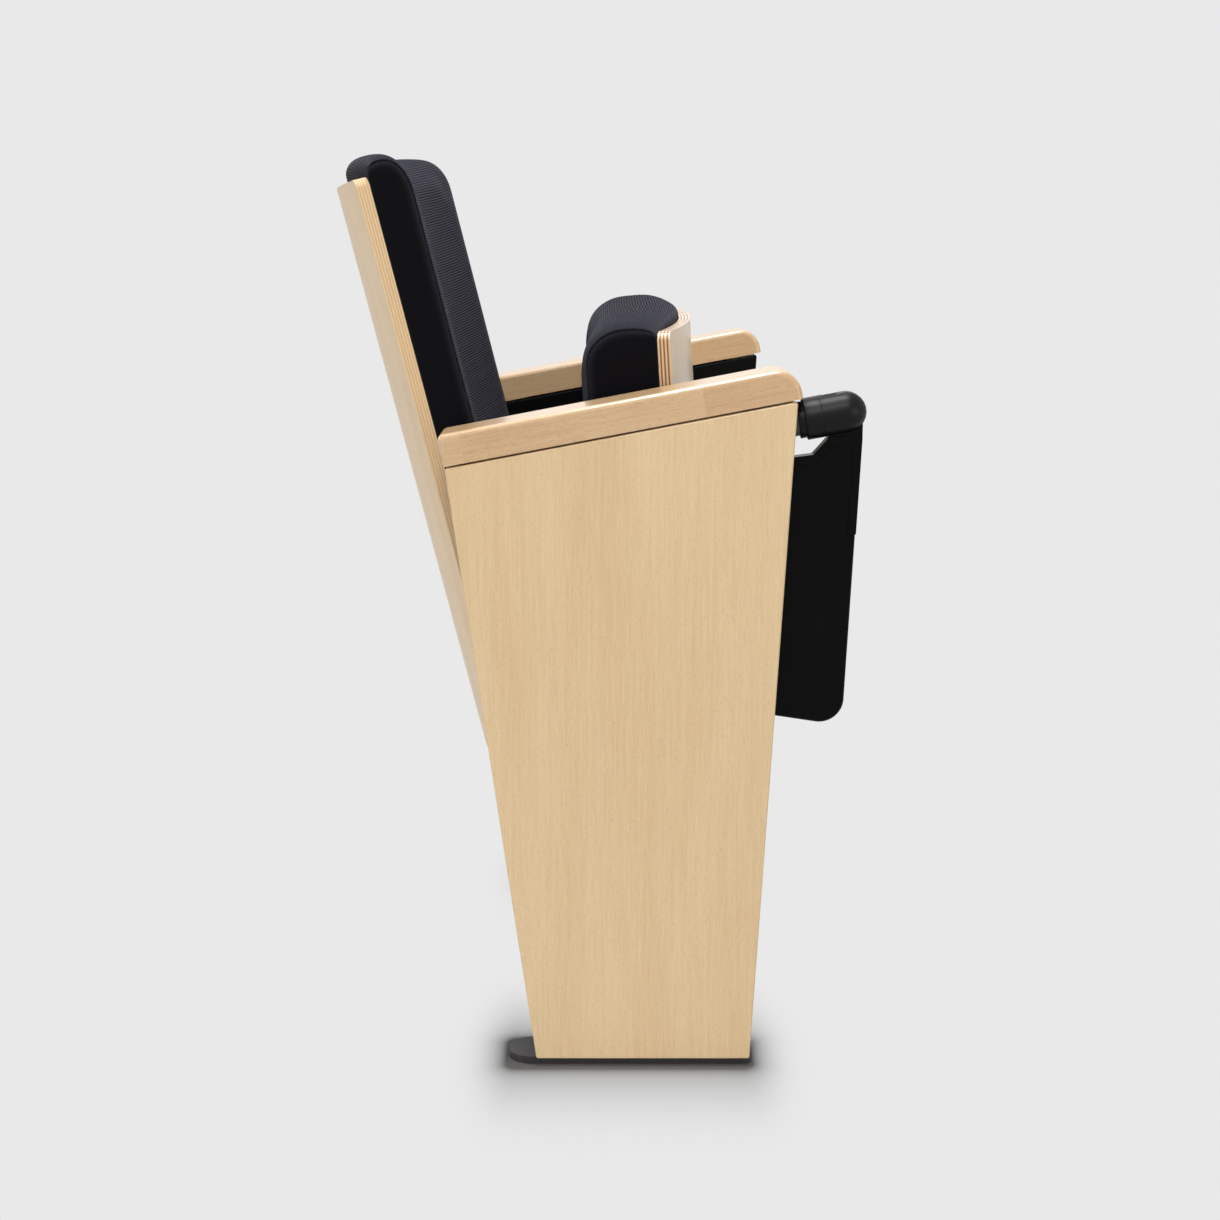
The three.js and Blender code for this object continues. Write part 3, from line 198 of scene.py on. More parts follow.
class Effects:
    """Shader node groups that several finishes share."""

    def __init__(self) -> None:
        """Builds every group once."""
        self.wood = self._wood()
        self.plies = self._plies()
        self.cloth = self._cloth()
        self.surface = self._surface()

    @staticmethod
    def _group(name: str, inputs: dict[str, str], outputs: dict[str, str]) -> tuple[Graph, dict, dict]:
        """Makes an empty group.

        Args:
            name: name of the group.
            inputs: input name to Float, Vector or Color.
            outputs: output name to the same.

        Returns:
            The graph, what comes in and the sockets that go out, both by name.
        """
        tree = bpy.data.node_groups.new(name, "ShaderNodeTree")
        for in_out, sockets in (("INPUT", inputs), ("OUTPUT", outputs)):
            for key, kind in sockets.items():
                tree.interface.new_socket(key, in_out=in_out, socket_type="NodeSocket" + kind)
        graph = Graph(tree)
        start, end = graph.node("NodeGroupInput"), graph.node("NodeGroupOutput")
        return graph, {k: Term(graph, start.outputs[k]) for k in inputs}, {k: end.inputs[k] for k in outputs}

    def _wood(self) -> NodeTree:
        """Long streaks, broad tone, short dark flecks along the grain, and pieces joined end to end."""
        graph, given, put = self._group(
            "wood figure",
            {"Vector": "Vector", "Pale": "Color", "Warm": "Color", "Fleck": "Color", "Streak": "Float",
             "Flecks": "Float", "Stave length": "Float"},
            {"Color": "Color", "Roughness": "Float", "Height": "Float"},
        )
        stave = graph.math("FLOOR", graph.parts(given["Vector"])["Z"] / given["Stave length"])
        offset = graph.take("CombineXYZ", 0, {0: stave * 0.371, 1: stave})
        place = graph.take("VectorMath", "Vector", {0: given["Vector"], 1: offset}, operation="ADD")
        tone = graph.noise(graph.drawn_out(place, 0.10), 18, 3, 0.55)
        streak = graph.noise(graph.drawn_out(place, 0.035), 420, 3, 0.62)
        fine = graph.noise(graph.drawn_out(place, 0.06), 1300, 1, 0.5)
        fleck = graph.step(graph.noise(graph.drawn_out(place, 0.22), 1050, 1, 0.45), 0.60, 0.72)
        shade = graph.take("TexWhiteNoise", "Value", {"W": stave}, noise_dimensions="1D")
        figure = (streak - 0.5) * given["Streak"] + graph.step(tone, 0.30, 0.72) * 0.34 + (fine - 0.5) * 0.5
        figure = graph.math("ADD", figure, (shade - 0.4) * 0.3, clamp=True)
        body = graph.mix(figure, given["Pale"], given["Warm"])
        graph.feed(put["Color"], graph.mix(fleck * given["Flecks"], body, given["Fleck"]))
        graph.feed(put["Roughness"], streak * 0.16 + 0.36)
        graph.feed(put["Height"], streak * 0.6 - fleck)
        return graph.tree

    def _plies(self) -> NodeTree:
        """Layers of bent plywood.

        The distance from the bend's axis is cut into plies of two tones and thin glue lines.
        Neither shows in the outer faces.
        """
        graph, given, put = self._group(
            "bent plies",
            {"Vector": "Vector", "Axis depth": "Float", "Radius": "Float", "Thickness": "Float", "Plies": "Float"},
            {"Cross ply": "Float", "Glue": "Float"},
        )
        part = graph.parts(given["Vector"])
        depth = part["Y"] - given["Axis depth"]
        distance = graph.math("SQRT", part["X"] * part["X"] + depth * depth)
        layer = (distance - given["Radius"]) / given["Thickness"] * given["Plies"]
        wave = graph.math("PINGPONG", layer, 1.0)
        every_second = graph.math("FLOORED_MODULO", graph.math("FLOOR", layer), 2.0)
        inside = graph.step(layer, 0.30, 0.45) * (1.0 - graph.step(given["Plies"] - layer, 0.45, 0.30))
        off_line = graph.math("MINIMUM", wave, 1.0 - wave) * 2.0
        graph.feed(put["Cross ply"], every_second * graph.step(off_line, 0.0, 0.4) * inside)
        graph.feed(put["Glue"], (1.0 - graph.step(off_line, 0.04, 0.24)) * inside)
        return graph.tree

    def _cloth(self) -> NodeTree:
        """Ribbed weave: rows across the second coordinate, each broken along the first into offset stitches.

        On the boxing, the second coordinate is BOXING plus the distance in from the sewn edge.
        There the weave is plain and fades away from the edge, and its colour is darkened as painted shade,
        less so in a band next to the edge, which is a painted highlight on the welt. Rib tops are painted
        lighter, a painted sheen, and rib valleys darker, a painted shade.
        """
        graph, given, put = self._group(
            "ribbed weave",
            {"Vector": "Vector", "Place": "Vector", "Rib": "Float", "Dark": "Color", "Light": "Color"},
            {"Color": "Color", "Height": "Float"},
        )
        part = graph.parts(given["Vector"])
        row = part["Y"] / given["Rib"] + graph.noise(given["Place"], 30, 2, 0.5) * 0.35
        rib = graph.math("SINE", row * math.tau)
        shift = graph.math("FLOOR", row) * 0.5
        stitch = graph.math("SINE", (part["X"] / (given["Rib"] * 0.8) + shift) * math.tau)
        fuzz = graph.noise(given["Place"], 1900, 3, 0.6)
        boxed = graph.step(part["Y"], BOXING - 2.0, BOXING - 1.5)
        weave = rib * (0.5 - boxed * 0.44) + stitch * 0.06
        height = weave * (1.0 - graph.step(part["Y"], BOXING + 0.008, BOXING + 0.013)) + fuzz * 0.22
        # Rib height sets the colour: rib tops painted lighter as painted sheen, valleys darker as painted shade.
        shade = graph.math("ADD", height * 0.9, 0.34, clamp=True)
        # Painted shade on the boxing. It is weaker in the band next to the sewn edge, which reads as a painted
        # highlight on the welt.
        dark = graph.step(part["Y"], BOXING + 0.005, BOXING + 0.014) * 0.38 + 0.5
        graph.feed(put["Color"], graph.mix(shade * (1.0 - boxed * dark), given["Dark"], given["Light"]))
        graph.feed(put["Height"], height)
        return graph.tree

    def _surface(self) -> NodeTree:
        """Fine pebbled texture with cloudy handling marks that change the gloss."""
        graph, given, put = self._group(
            "pebbled surface",
            {"Vector": "Vector", "Grain scale": "Float", "Base": "Color", "Rubbed": "Color",
             "Roughness": "Float", "Spread": "Float"},
            {"Color": "Color", "Roughness": "Float", "Height": "Float"},
        )
        cloud = graph.noise(given["Vector"], 9, 4, 0.6)
        marks = graph.step(graph.noise(graph.drawn_out(given["Vector"], 0.3), 60, 4, 0.7), 0.50, 0.78)
        graph.feed(put["Color"], graph.mix(marks * 0.5, given["Base"], given["Rubbed"]))
        swing = (cloud + marks - 0.7) * given["Spread"]
        graph.feed(put["Roughness"], graph.math("ADD", given["Roughness"], swing, clamp=True))
        graph.feed(put["Height"], graph.noise(given["Vector"], given["Grain scale"]))
        return graph.tree


@dataclass(frozen=True)
class Slant:
    """Frame of a sloping piece, turned about X: depth lies rearwards and along lies upwards."""

    lean: float
    origin: tuple[float, float]

    def placed(self, across: np.ndarray, depth: np.ndarray, along: np.ndarray) -> np.ndarray:
        """Turns places in the slant into points of the model."""
        y = self.origin[0] + depth * math.cos(self.lean) + along * math.sin(self.lean)
        z = self.origin[1] - depth * math.sin(self.lean) + along * math.cos(self.lean)
        return np.stack(np.broadcast_arrays(across, y, z), -1)

    def found(self, points: np.ndarray) -> tuple[np.ndarray, np.ndarray]:
        """Gives the depth and the place along of points of the model."""
        y, z = points[..., 1] - self.origin[0], points[..., 2] - self.origin[1]
        return (y * math.cos(self.lean) - z * math.sin(self.lean),
                y * math.sin(self.lean) + z * math.cos(self.lean))


@dataclass(frozen=True)
class BentShell:
    """Bend of a plywood shell, in its own frame: Y is depth and Z runs along the shell."""

    sag: float
    edge_depth: float
    facing: float
    half: float = 0.232

    @property
    def radius(self) -> float:
        """Radius of the inner face: (half width squared plus sag squared) over twice the sag."""
        return (self.half ** 2 + self.sag ** 2) / (2 * self.sag)

    @property
    def axis_depth(self) -> float:
        """Depth of the bend's axis."""
        return self.facing * (self.edge_depth + self.sag - self.radius)

    def inner(self, x: np.ndarray, beyond: float = 0.0) -> np.ndarray:
        """Depth at places across of the inner face, or of a parallel one that lies beyond it."""
        return self.edge_depth + np.sqrt((self.radius + beyond) ** 2 - x ** 2) - (self.radius - self.sag)


BACK_BEND = BentShell(sag=0.0445, edge_depth=0.0141, facing=1.0)
SEAT_BEND = BentShell(sag=0.029, edge_depth=0.047, facing=-1.0)
BACK_SLANT = Slant(BACK_LEAN, (DATUM_Y, 0.0))
SEAT_SLANT = Slant(SEAT_LEAN, PIVOT)


@dataclass(frozen=True)
class Finish:
    """A finish, with what every finish shares."""

    name: str

    def start(self) -> tuple[Material, Graph]:
        """Makes the material and its graph."""
        material = bpy.data.materials.new(self.name)
        material.use_nodes = True
        return material, Graph(material.node_tree)

    @staticmethod
    def dress(graph: Graph, height: object, bump: tuple[float, float], values: dict[str, object]) -> None:
        """Feeds the Principled BSDF.

        Args:
            graph: graph of the material.
            height: what the Bump node reads.
            bump: strength and distance of the bump.
            values: input name to a plain value or to an output to link.
        """
        shader = graph.tree.nodes["Principled BSDF"]
        normal = graph.take("Bump", "Normal", {"Height": height, "Strength": bump[0], "Distance": bump[1]})
        for key, value in {**values, "Normal": normal}.items():
            graph.feed(shader.inputs[key], value)


@dataclass(frozen=True)
class WoodFinish(Finish):
    """Lacquered wood. The pattern's long axis follows the grain."""

    pale: tuple = linear(224, 196, 154)
    warm: tuple = linear(204, 168, 118)
    fleck: tuple = linear(158, 116, 74)
    grain: Grain = Grain.UPRIGHT
    streak: float = 0.9
    flecks: float = 0.45
    stave: float = 9.0
    bump: tuple[float, float] = (0.22, 0.0003)
    coat: float = 0.25
    coat_roughness: float = 0.2

    def coordinates(self, graph: Graph) -> Term:
        """Gives Object coordinates turned so that the grain lies along Z."""
        values = {"Vector": graph.take("TexCoord", "Object"), "Rotation": (self.grain.value, 0, 0)}
        return graph.take("Mapping", "Vector", values)

    def layered(self, graph: Graph, effects: Effects, vector: Term, colour: object) -> object:
        """Gives the colour as it is, because solid wood and veneer show no layers."""
        return colour

    def build(self, effects: Effects) -> Material:
        """Makes the material."""
        material, graph = self.start()
        vector = self.coordinates(graph)
        values = {"Vector": vector, "Pale": self.pale, "Warm": self.warm, "Fleck": self.fleck,
                  "Streak": self.streak, "Flecks": self.flecks, "Stave length": self.stave}
        figure = graph.node("Group", values, node_tree=effects.wood).outputs
        self.dress(graph, figure["Height"], self.bump, {
            "Base Color": self.layered(graph, effects, vector, figure["Color"]),
            "Roughness": figure["Roughness"], "Coat Weight": self.coat, "Coat Roughness": self.coat_roughness})
        return material


@dataclass(frozen=True)
class PlyFinish(WoodFinish):
    """Bent plywood: veneer on its faces and layers on its cut edges."""

    glue: tuple = linear(150, 104, 60)
    cross: tuple = linear(188, 142, 92)
    strength: float = 0.55
    slant: Slant = BACK_SLANT
    bend: BentShell = BACK_BEND
    thickness: float = 0.012
    plies: float = 9.0

    def coordinates(self, graph: Graph) -> Term:
        """Gives coordinates in the shell's own frame: Y is depth and Z runs along the shell."""
        turn = self.grain.value
        y, z = self.slant.origin
        moved = (0.0, -(y * math.cos(turn) - z * math.sin(turn)), -(y * math.sin(turn) + z * math.cos(turn)))
        values = {"Vector": graph.take("TexCoord", "Object"), "Rotation": (turn, 0, 0), "Location": moved}
        return graph.take("Mapping", "Vector", values)

    def layered(self, graph: Graph, effects: Effects, vector: Term, colour: object) -> object:
        """Tints the veneer's colour where the layers of the plywood show."""
        values = {"Vector": vector, "Axis depth": self.bend.axis_depth, "Radius": self.bend.radius,
                  "Thickness": self.thickness, "Plies": self.plies}
        layers = graph.node("Group", values, node_tree=effects.plies).outputs
        colour = graph.mix(Term(graph, layers["Cross ply"]) * self.strength, colour, self.cross)
        return graph.mix(Term(graph, layers["Glue"]) * (0.5 * self.strength), colour, self.glue)


@dataclass(frozen=True)
class ClothFinish(Finish):
    """Ribbed upholstery fabric, which follows the piece's own cloth map."""

    # Ends of the colour mix: dark for rib valleys, holding painted shade; light for rib tops, a painted bluish
    # sheen.
    dark: tuple = linear(5, 4, 5)
    light: tuple = linear(66, 66, 76)
    tint: tuple = linear(205, 205, 225)
    rib: float = 0.0029
    bump: tuple[float, float] = (0.8, 0.0008)
    roughness: float = 0.92
    specular: float = 0.04
    sheen: float = 0.12
    sheen_roughness: float = 0.45

    def build(self, effects: Effects) -> Material:
        """Makes the material."""
        material, graph = self.start()
        values = {"Vector": graph.take("UVMap", "UV", uv_map="cloth"), "Place": graph.take("TexCoord", "Object"),
                  "Rib": self.rib, "Dark": self.dark, "Light": self.light}
        weave = graph.node("Group", values, node_tree=effects.cloth).outputs
        self.dress(graph, weave["Height"], self.bump, {
            "Base Color": weave["Color"], "Roughness": self.roughness, "Specular IOR Level": self.specular,
            "Sheen Weight": self.sheen, "Sheen Roughness": self.sheen_roughness, "Sheen Tint": self.tint})
        return material


@dataclass(frozen=True)
class SurfaceFinish(Finish):
    """Moulded plastic, paint, rubber, board or metal with a fine texture."""

    base: tuple
    rubbed: tuple
    roughness: float
    spread: float = 0.1
    grain: float = 1100.0
    bump: float = 0.5
    depth: float = 0.00008
    metallic: float = 0.0
    specular: float = 0.5

    def build(self, effects: Effects) -> Material:
        """Makes the material."""
        material, graph = self.start()
        values = {"Vector": graph.take("TexCoord", "Object"), "Grain scale": self.grain, "Base": self.base,
                  "Rubbed": self.rubbed, "Roughness": self.roughness, "Spread": self.spread}
        pebbles = graph.node("Group", values, node_tree=effects.surface).outputs
        self.dress(graph, pebbles["Height"], (self.bump, self.depth), {
            "Base Color": pebbles["Color"], "Roughness": pebbles["Roughness"],
            "Metallic": self.metallic, "Specular IOR Level": self.specular})
        return material


@dataclass
class Loft:
    """Closed skin made of loops of points.

    Each end is closed by triangles to its pole, or where there are no poles by a strip
    across the loop, from the point numbered fold.
    """

    name: str
    loops: np.ndarray
    poles: np.ndarray | None = None
    cloth: np.ndarray | None = None
    fold: int = 0

    def order(self) -> int:
        """Gives the step through the loops, 1 or -1, that puts the skin's outside out.

        Each quad's normal is the way round a loop crossed with the way to the next loop. The
        sum of its products with the place seen from the middle is positive on a good skin.
        """
        start = self.loops[:-1]
        normal = np.cross(np.roll(start, -1, axis=1) - start, self.loops[1:] - start)
        return -1 if (normal * (start - self.loops.mean(axis=(0, 1)))).sum() < 0 else 1

    def fans(self) -> list[list[int]]:
        """Triangles from each end loop to its pole."""
        rows, count = self.loops.shape[:2]
        around = np.arange(count)
        after = (around + 1) % count
        last, pole = (rows - 1) * count, np.full(count, rows * count)
        return np.concatenate([np.stack([pole, after, around], -1),
                               np.stack([pole + 1, last + around, last + after], -1)]).tolist()

    def strips(self) -> list[list[int]]:
        """Quads across each end loop, between points equally far both ways from the fold.

        A quad whose two points meet, at the ends of the strip, becomes a triangle.
        """
        rows, count = self.loops.shape[:2]
        step = np.arange(count // 2 + 1)
        ahead, back = (self.fold + step) % count, (self.fold - step) % count
        across = np.stack([back[:-1], back[1:], ahead[1:], ahead[:-1]], -1)
        first = [list(dict.fromkeys(face)) for face in across.tolist()]
        return first + [[(rows - 1) * count + point for point in face[::-1]] for face in first]

    def build(self, material: Material) -> Object:
        """Makes the mesh object, in which neighbouring loops are joined by quads.

        The cloth map, where there is one, holds one value for each loop point and one more
        where the loop closes.

        Args:
            material: finish of the piece.

        Returns:
            The object.
        """
        order = self.order()
        rows, count, _ = self.loops.shape
        i, j = np.meshgrid(np.arange(rows - 1), np.arange(count), indexing="ij")
        corners = ((i, j), (i, j + 1), (i + 1, j + 1), (i + 1, j))
        quads = np.stack([row * count + point % count for row, point in corners], -1).reshape(-1, 4)
        points = self.loops[::order].reshape(-1, 3)
        ends = self.strips() if self.poles is None else self.fans()
        if self.poles is not None:
            points = np.concatenate([points, self.poles[::order]])
        mesh = bpy.data.meshes.new(self.name)
        mesh.from_pydata(points.tolist(), [], quads.tolist() + ends)
        if self.cloth is not None:
            maps = self.cloth[::order]
            quad_map = np.stack([maps[row, point] for row, point in corners], -2).reshape(-1, 2)
            end_points = np.concatenate(ends)
            values = np.concatenate([quad_map, maps[end_points // count, end_points % count]])
            mesh.uv_layers.new(name="cloth").data.foreach_set("uv", values.astype(np.float32).ravel())
        mesh.polygons.foreach_set("use_smooth", np.ones(len(mesh.polygons), bool))
        mesh.materials.append(material)
        mesh.update()
        return added(self.name, mesh)


def fixed_piece(name: str, skin: Skin, material: Material, slot: str, node: str | None = None) -> None:
    """Makes a rigid piece of the frame.

    Args:
        name: name of the piece.
        skin: its loops and poles.
        material: its finish.
        slot: its slot in the record; not used.
        node: the node that it replaces, if any.
    """
    made = Loft(name, *skin).build(material)
    if node:
        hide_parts(node)
    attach(made, "frame")
    LOG.info("%s: %d faces", made.name, len(made.data.polygons))


def vertex_array(mesh: Mesh) -> np.ndarray:
    """Gives a mesh's points as rows of x, y and z."""
    points = np.zeros(len(mesh.vertices) * 3)
    mesh.vertices.foreach_get("co", points)
    return points.reshape(-1, 3)


def fade(value: np.ndarray, low: float, high: float) -> np.ndarray:
    """Smooth climb from 0 at low to 1 at high: 3 s squared minus 2 s cubed."""
    share = np.clip((value - low) / (high - low), 0, 1)
    return share * share * (3 - 2 * share)


@dataclass(frozen=True)
class Cushion:
    """Upholstered cushion with boxed sides, sewn along both side outlines.

    Its own frame has X across, H out of the shell and T along the shell.
    """

    name: str
    node: str
    body: str
    bend: BentShell
    slant: Slant
    low: float
    high: float
    thickness: float
    rounds: tuple
    dish: float
    crown: float
    end_crown: float
    steps: tuple[int, int, int, int] = (12, 60, 12, 60)
    corner_steps: int = 12
    band_steps: int = 41
    half: float = 0.232
    off_shell: float = 0.0006
    least_round: float = 0.0008
    power: float = 5.0
    # The corners' radii may take up this share of the thickness between them.
    room_share: float = 0.92
    # The boxing's rings reach in by this share of the thickness, and the sewn edge lifts
    # off the shell by this share of its inset.
    reach_share: float = 0.42
    lift_share: float = 0.04
    band_gap: float = 0.008
    # Section of the sewn edge, from the top cover over the seam to the boxing:
    # distance out from the side, and distance in from the outline, in millimetres.
    edge: tuple = ((-30, 0), (-22, 0.05), (-15, 0.3), (-10, 0.8), (-6.4, 1.5), (-4.0, 2.3), (-2.3, 3.1),
                   (-1.5, 3.7), (-1.4, 4.1), (-2.4, 4.5), (-3.8, 4.8), (-4.0, 5.2), (-3.4, 5.6), (-1.8, 6.0),
                   (-0.7, 6.7), (0.1, 8.3), (0.4, 13))
    seam: float = 0.0048
    caps: tuple[float, ...] = (0.3, 0.6, 0.9)
    # The cloth is held fast from the second distance before the side onwards, and below the
    # first distance from the shell. Moves fade away in the same manner.
    held_side: tuple[float, float] = (0.016, 0.006)
    held_shell: tuple[float, float] = (0.004, 0.014)
    free_side: tuple[float, float] = (0.024, 0.008)
    free_shell: tuple[float, float] = (0.004, 0.016)
    frames: int = 20
    voxel: float = 0.006
    swell_cap: float = 0.005
    neighbours: int = 12
    batches: int = 48

    def outline(self, x: np.ndarray, inset: np.ndarray, floor_inset: np.ndarray) -> np.ndarray:
        """Side outline at each place across the width.

        Each corner is a quarter of an ellipse with its own two radii, and straight lines join
        them. The top of the back follows the shell, and the top of the seat is hollowed by the
        dish over the width. Both are raised by the crown, which fades towards the sides with a
        power of the share of the half width. An inset moves every side inwards and takes as
        much from the radii.

        Args:
            x: places across the width.
            inset: how far the three free sides move in.
            floor_inset: how far the side on the shell moves in.

        Returns:
            Array of places, points and (H, T).
        """
        share = np.clip(x / self.half, -1, 1)
        swell = 1 - np.abs(share) ** self.power
        shell = -self.bend.inner(share * self.half) + self.off_shell
        floor = shell + floor_inset
        hollow = shell if self.bend.facing > 0 else -self.bend.edge_depth - self.dish * (1 - share ** 2)
        top = hollow + self.thickness + self.crown * swell - inset
        low = self.low - 0.5 * self.crown * swell + inset
        high = self.high + self.end_crown * swell - inset
        corners = ((floor, low, math.pi, 1, 1, floor_inset), (top, low, 1.5 * math.pi, -1, 1, inset),
                   (top, high, 0.0, -1, -1, inset), (floor, high, 0.5 * math.pi, 1, -1, floor_inset))
        angle = np.linspace(0, math.pi / 2, self.corner_steps + 1)
        room = self.room_share * (top - floor)
        arcs = []
        for number, ((h, t, turn, sh, st, shift), (across, along)) in enumerate(zip(corners, self.rounds)):
            both = across + self.rounds[number ^ 1][0]
            across = np.minimum(np.maximum(across - shift, self.least_round), across / both * room)[:, None]
            along = np.maximum(along - inset, self.least_round)[:, None]
            arcs.append(np.stack([h[:, None] + sh * across + across * np.cos(turn + angle),
                                  t[:, None] + st * along + along * np.sin(turn + angle)], -1))
        parts = []
        for number, arc in enumerate(arcs):
            following = arcs[(number + 1) % 4][:, :1]
            share_along = (np.arange(1, self.steps[number]) / self.steps[number])[None, :, None]
            parts += [arc, arc[:, -1:] + (following - arc[:, -1:]) * share_along]
        return np.concatenate(parts, axis=1)

    def rows(self) -> tuple[np.ndarray, np.ndarray]:
        """Works out the whole skin as loops from one side to the other.

        The middle rows follow the cover. Towards each side come the section of the sewn edge
        and rings on the boxing, which shrink towards its middle. Cover rows are mapped by
        place across and length around, and boxing rows by length around and BOXING plus the
        inset.

        Returns:
            Loops as (X, H, T), and the cloth map.
        """
        edge = np.array(self.edge) / 1000
        caps = np.array(self.caps)
        reach = self.reach_share * self.thickness
        side = np.concatenate([self.half + edge[:, 0], np.full(len(caps), self.half + edge[-1, 0])])
        inset = np.concatenate([edge[:, 1], edge[-1, 1] + (reach - edge[-1, 1]) * caps])
        floor = np.concatenate([edge[:, 1] * self.lift_share, reach * caps])
        band = np.linspace(-side[0] + self.band_gap, side[0] - self.band_gap, self.band_steps)
        flat_band = np.zeros(self.band_steps)
        x = np.concatenate([-side[::-1], band, side])
        inset = np.concatenate([inset[::-1], flat_band, inset])
        floor = np.concatenate([floor[::-1], flat_band, floor])
        flat = self.outline(x, inset, floor)
        length = np.linalg.norm(np.roll(flat, -1, axis=1) - flat, axis=-1)
        around = np.concatenate([np.zeros((len(x), 1)), np.cumsum(length, axis=1)], axis=1)
        loops = np.concatenate([np.broadcast_to(x[:, None, None], flat.shape[:2] + (1,)), flat], axis=-1)
        cloth = np.stack([np.broadcast_to(x[:, None], around.shape), around], -1)
        boxed = inset > self.seam
        cloth[boxed, :, 0] = around[boxed]
        cloth[boxed, :, 1] = BOXING + inset[boxed, None]
        return loops, cloth

    def placed(self, points: np.ndarray) -> np.ndarray:
        """Turns (X, H, T) points into the model's frame. H is depth with the shell's sign."""
        return self.slant.placed(points[..., 0], -self.bend.facing * points[..., 1], points[..., 2])

    def local(self, points: np.ndarray) -> np.ndarray:
        """Turns points of the model's frame into (X, H, T), the reverse of placed."""
        depth, along = self.slant.found(points)
        return np.stack([points[:, 0], -self.bend.facing * depth, along], -1)

    def above_shell(self, local: np.ndarray) -> np.ndarray:
        """Distance of (X, H, T) points out of the shell's inner face."""
        return local[:, 1] + self.bend.inner(np.clip(local[:, 0], -self.half, self.half))

    def near_side(self, local: np.ndarray, distances: tuple[float, float]) -> np.ndarray:
        """Climb from 0 to 1 between two distances before a side."""
        return fade(np.abs(local[:, 0]), self.half - distances[0], self.half - distances[1])

    def held(self, work: Object, points: np.ndarray) -> None:
        """Makes the group of points that the cloth is held by, at the seams and on the shell."""
        local = self.local(points)
        hold = np.maximum(self.near_side(local, self.held_side),
                          1 - fade(self.above_shell(local), *self.held_shell))
        group = work.vertex_groups.new(name="held")
        for level in np.unique(np.round(hold, 1)):
            group.add(np.nonzero(np.round(hold, 1) == level)[0].tolist(), float(level), "REPLACE")

    def swelling(self, rest: Object) -> np.ndarray:
        """Swells a coarse copy as cloth and gives how far each point of the skin moves.

        The copy is remeshed, held, and blown up gently. Only the outward part of each move is
        kept. It is capped, smoothed over neighbours and carried over to the skin.

        Args:
            rest: the finished skin before it swells.

        Returns:
            Moves for every point, in the model's frame.
        """
        scene = bpy.context.scene
        work = added(self.name + "_work", rest.data.copy())
        remesh = work.modifiers.new("remesh", "REMESH")
        remesh.mode, remesh.voxel_size = "VOXEL", self.voxel
        evaluated = work.evaluated_get(bpy.context.evaluated_depsgraph_get())
        work.data = bpy.data.meshes.new_from_object(evaluated)
        work.modifiers.clear()
        before = vertex_array(work.data)
        self.held(work, before)
        cloth = work.modifiers.new("cloth", "CLOTH")
        for name, value in {
            "quality": 5, "mass": 0.3, "tension_stiffness": 12, "compression_stiffness": 12,
            "shear_stiffness": 8, "bending_stiffness": 2, "use_pressure": True,
            "uniform_pressure_force": 4, "vertex_group_mass": "held", "pin_stiffness": 1,
        }.items():
            setattr(cloth.settings, name, value)
        cloth.settings.effector_weights.gravity = 0
        cloth.collision_settings.use_collision = False
        cloth.point_cache.frame_start, cloth.point_cache.frame_end = 1, self.frames
        for number in range(1, self.frames + 1):
            scene.frame_set(number)
        evaluated = work.evaluated_get(bpy.context.evaluated_depsgraph_get())
        moved = vertex_array(evaluated.to_mesh()) - before
        evaluated.to_mesh_clear()
        scene.frame_set(1)
        mesh = work.data
        normals = np.zeros(len(mesh.vertices) * 3, np.float32)
        mesh.vertex_normals.foreach_get("vector", normals)
        normals = normals.reshape(-1, 3).astype(float)
        moved = normals * np.clip((moved * normals).sum(1, keepdims=True), 0, self.swell_cap)
        bpy.data.objects.remove(work)
        bpy.data.meshes.remove(mesh)
        carried = []
        for points in np.array_split(vertex_array(rest.data), self.batches):
            off = (points ** 2).sum(1)[:, None] + (before ** 2).sum(1)[None] - 2 * points @ before.T
            near = np.argpartition(off, self.neighbours, axis=1)[:, :self.neighbours]
            carried.append(moved[near].mean(axis=1))
        return np.concatenate(carried)

    def build(self, cover: Material) -> Object:
        """Makes the cushion.

        Args:
            cover: fabric finish.

        Returns:
            The piece.
        """
        loops, cloth = self.rows()
        fold = self.corner_steps + self.steps[0] // 2
        skin = Loft(self.name, self.placed(loops), cloth=cloth, fold=fold).build(cover)
        points = vertex_array(skin.data)
        local = self.local(points)
        free = 1 - self.near_side(local, self.free_side)
        free = free * fade(self.above_shell(local), *self.free_shell)
        points = points + self.swelling(skin) * free[:, None]
        skin.data.vertices.foreach_set("co", points.ravel())
        skin.data.update()
        shape = skin.modifiers.new("smooth", "SUBSURF")
        shape.levels = shape.render_levels = 1
        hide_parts(self.node)
        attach(skin, self.body)
        return skin


@dataclass(frozen=True)
class Upholstery:
    """Both cushions."""

    back: Cushion = Cushion(
        name="back_pad", node="back_cushion", body="frame", bend=BACK_BEND, slant=BACK_SLANT,
        low=0.452, high=0.934, thickness=0.0435, dish=0.0, crown=0.0035, end_crown=0.0075,
        rounds=((0.007, 0.007), (0.014, 0.014), (0.027, 0.040), (0.015, 0.015)))
    seat: Cushion = Cushion(
        name="seat_pad", node="seat_cushion", body="seat", bend=SEAT_BEND, slant=SEAT_SLANT,
        low=-0.066, high=0.3525, thickness=0.0755, dish=0.014, crown=0.003, end_crown=0.0095,
        rounds=((0.007, 0.007), (0.020, 0.020), (0.044, 0.038), (0.030, 0.014)), steps=(16, 50, 9, 50))

    def build(self, effects: Effects) -> None:
        """Makes both cushions."""
        cover = ClothFinish("charcoal ribbed fabric").build(effects)
        for cushion in (self.back, self.seat):
            piece = cushion.build(cover)
            LOG.info("%s: %d faces", piece.name, len(piece.data.polygons))


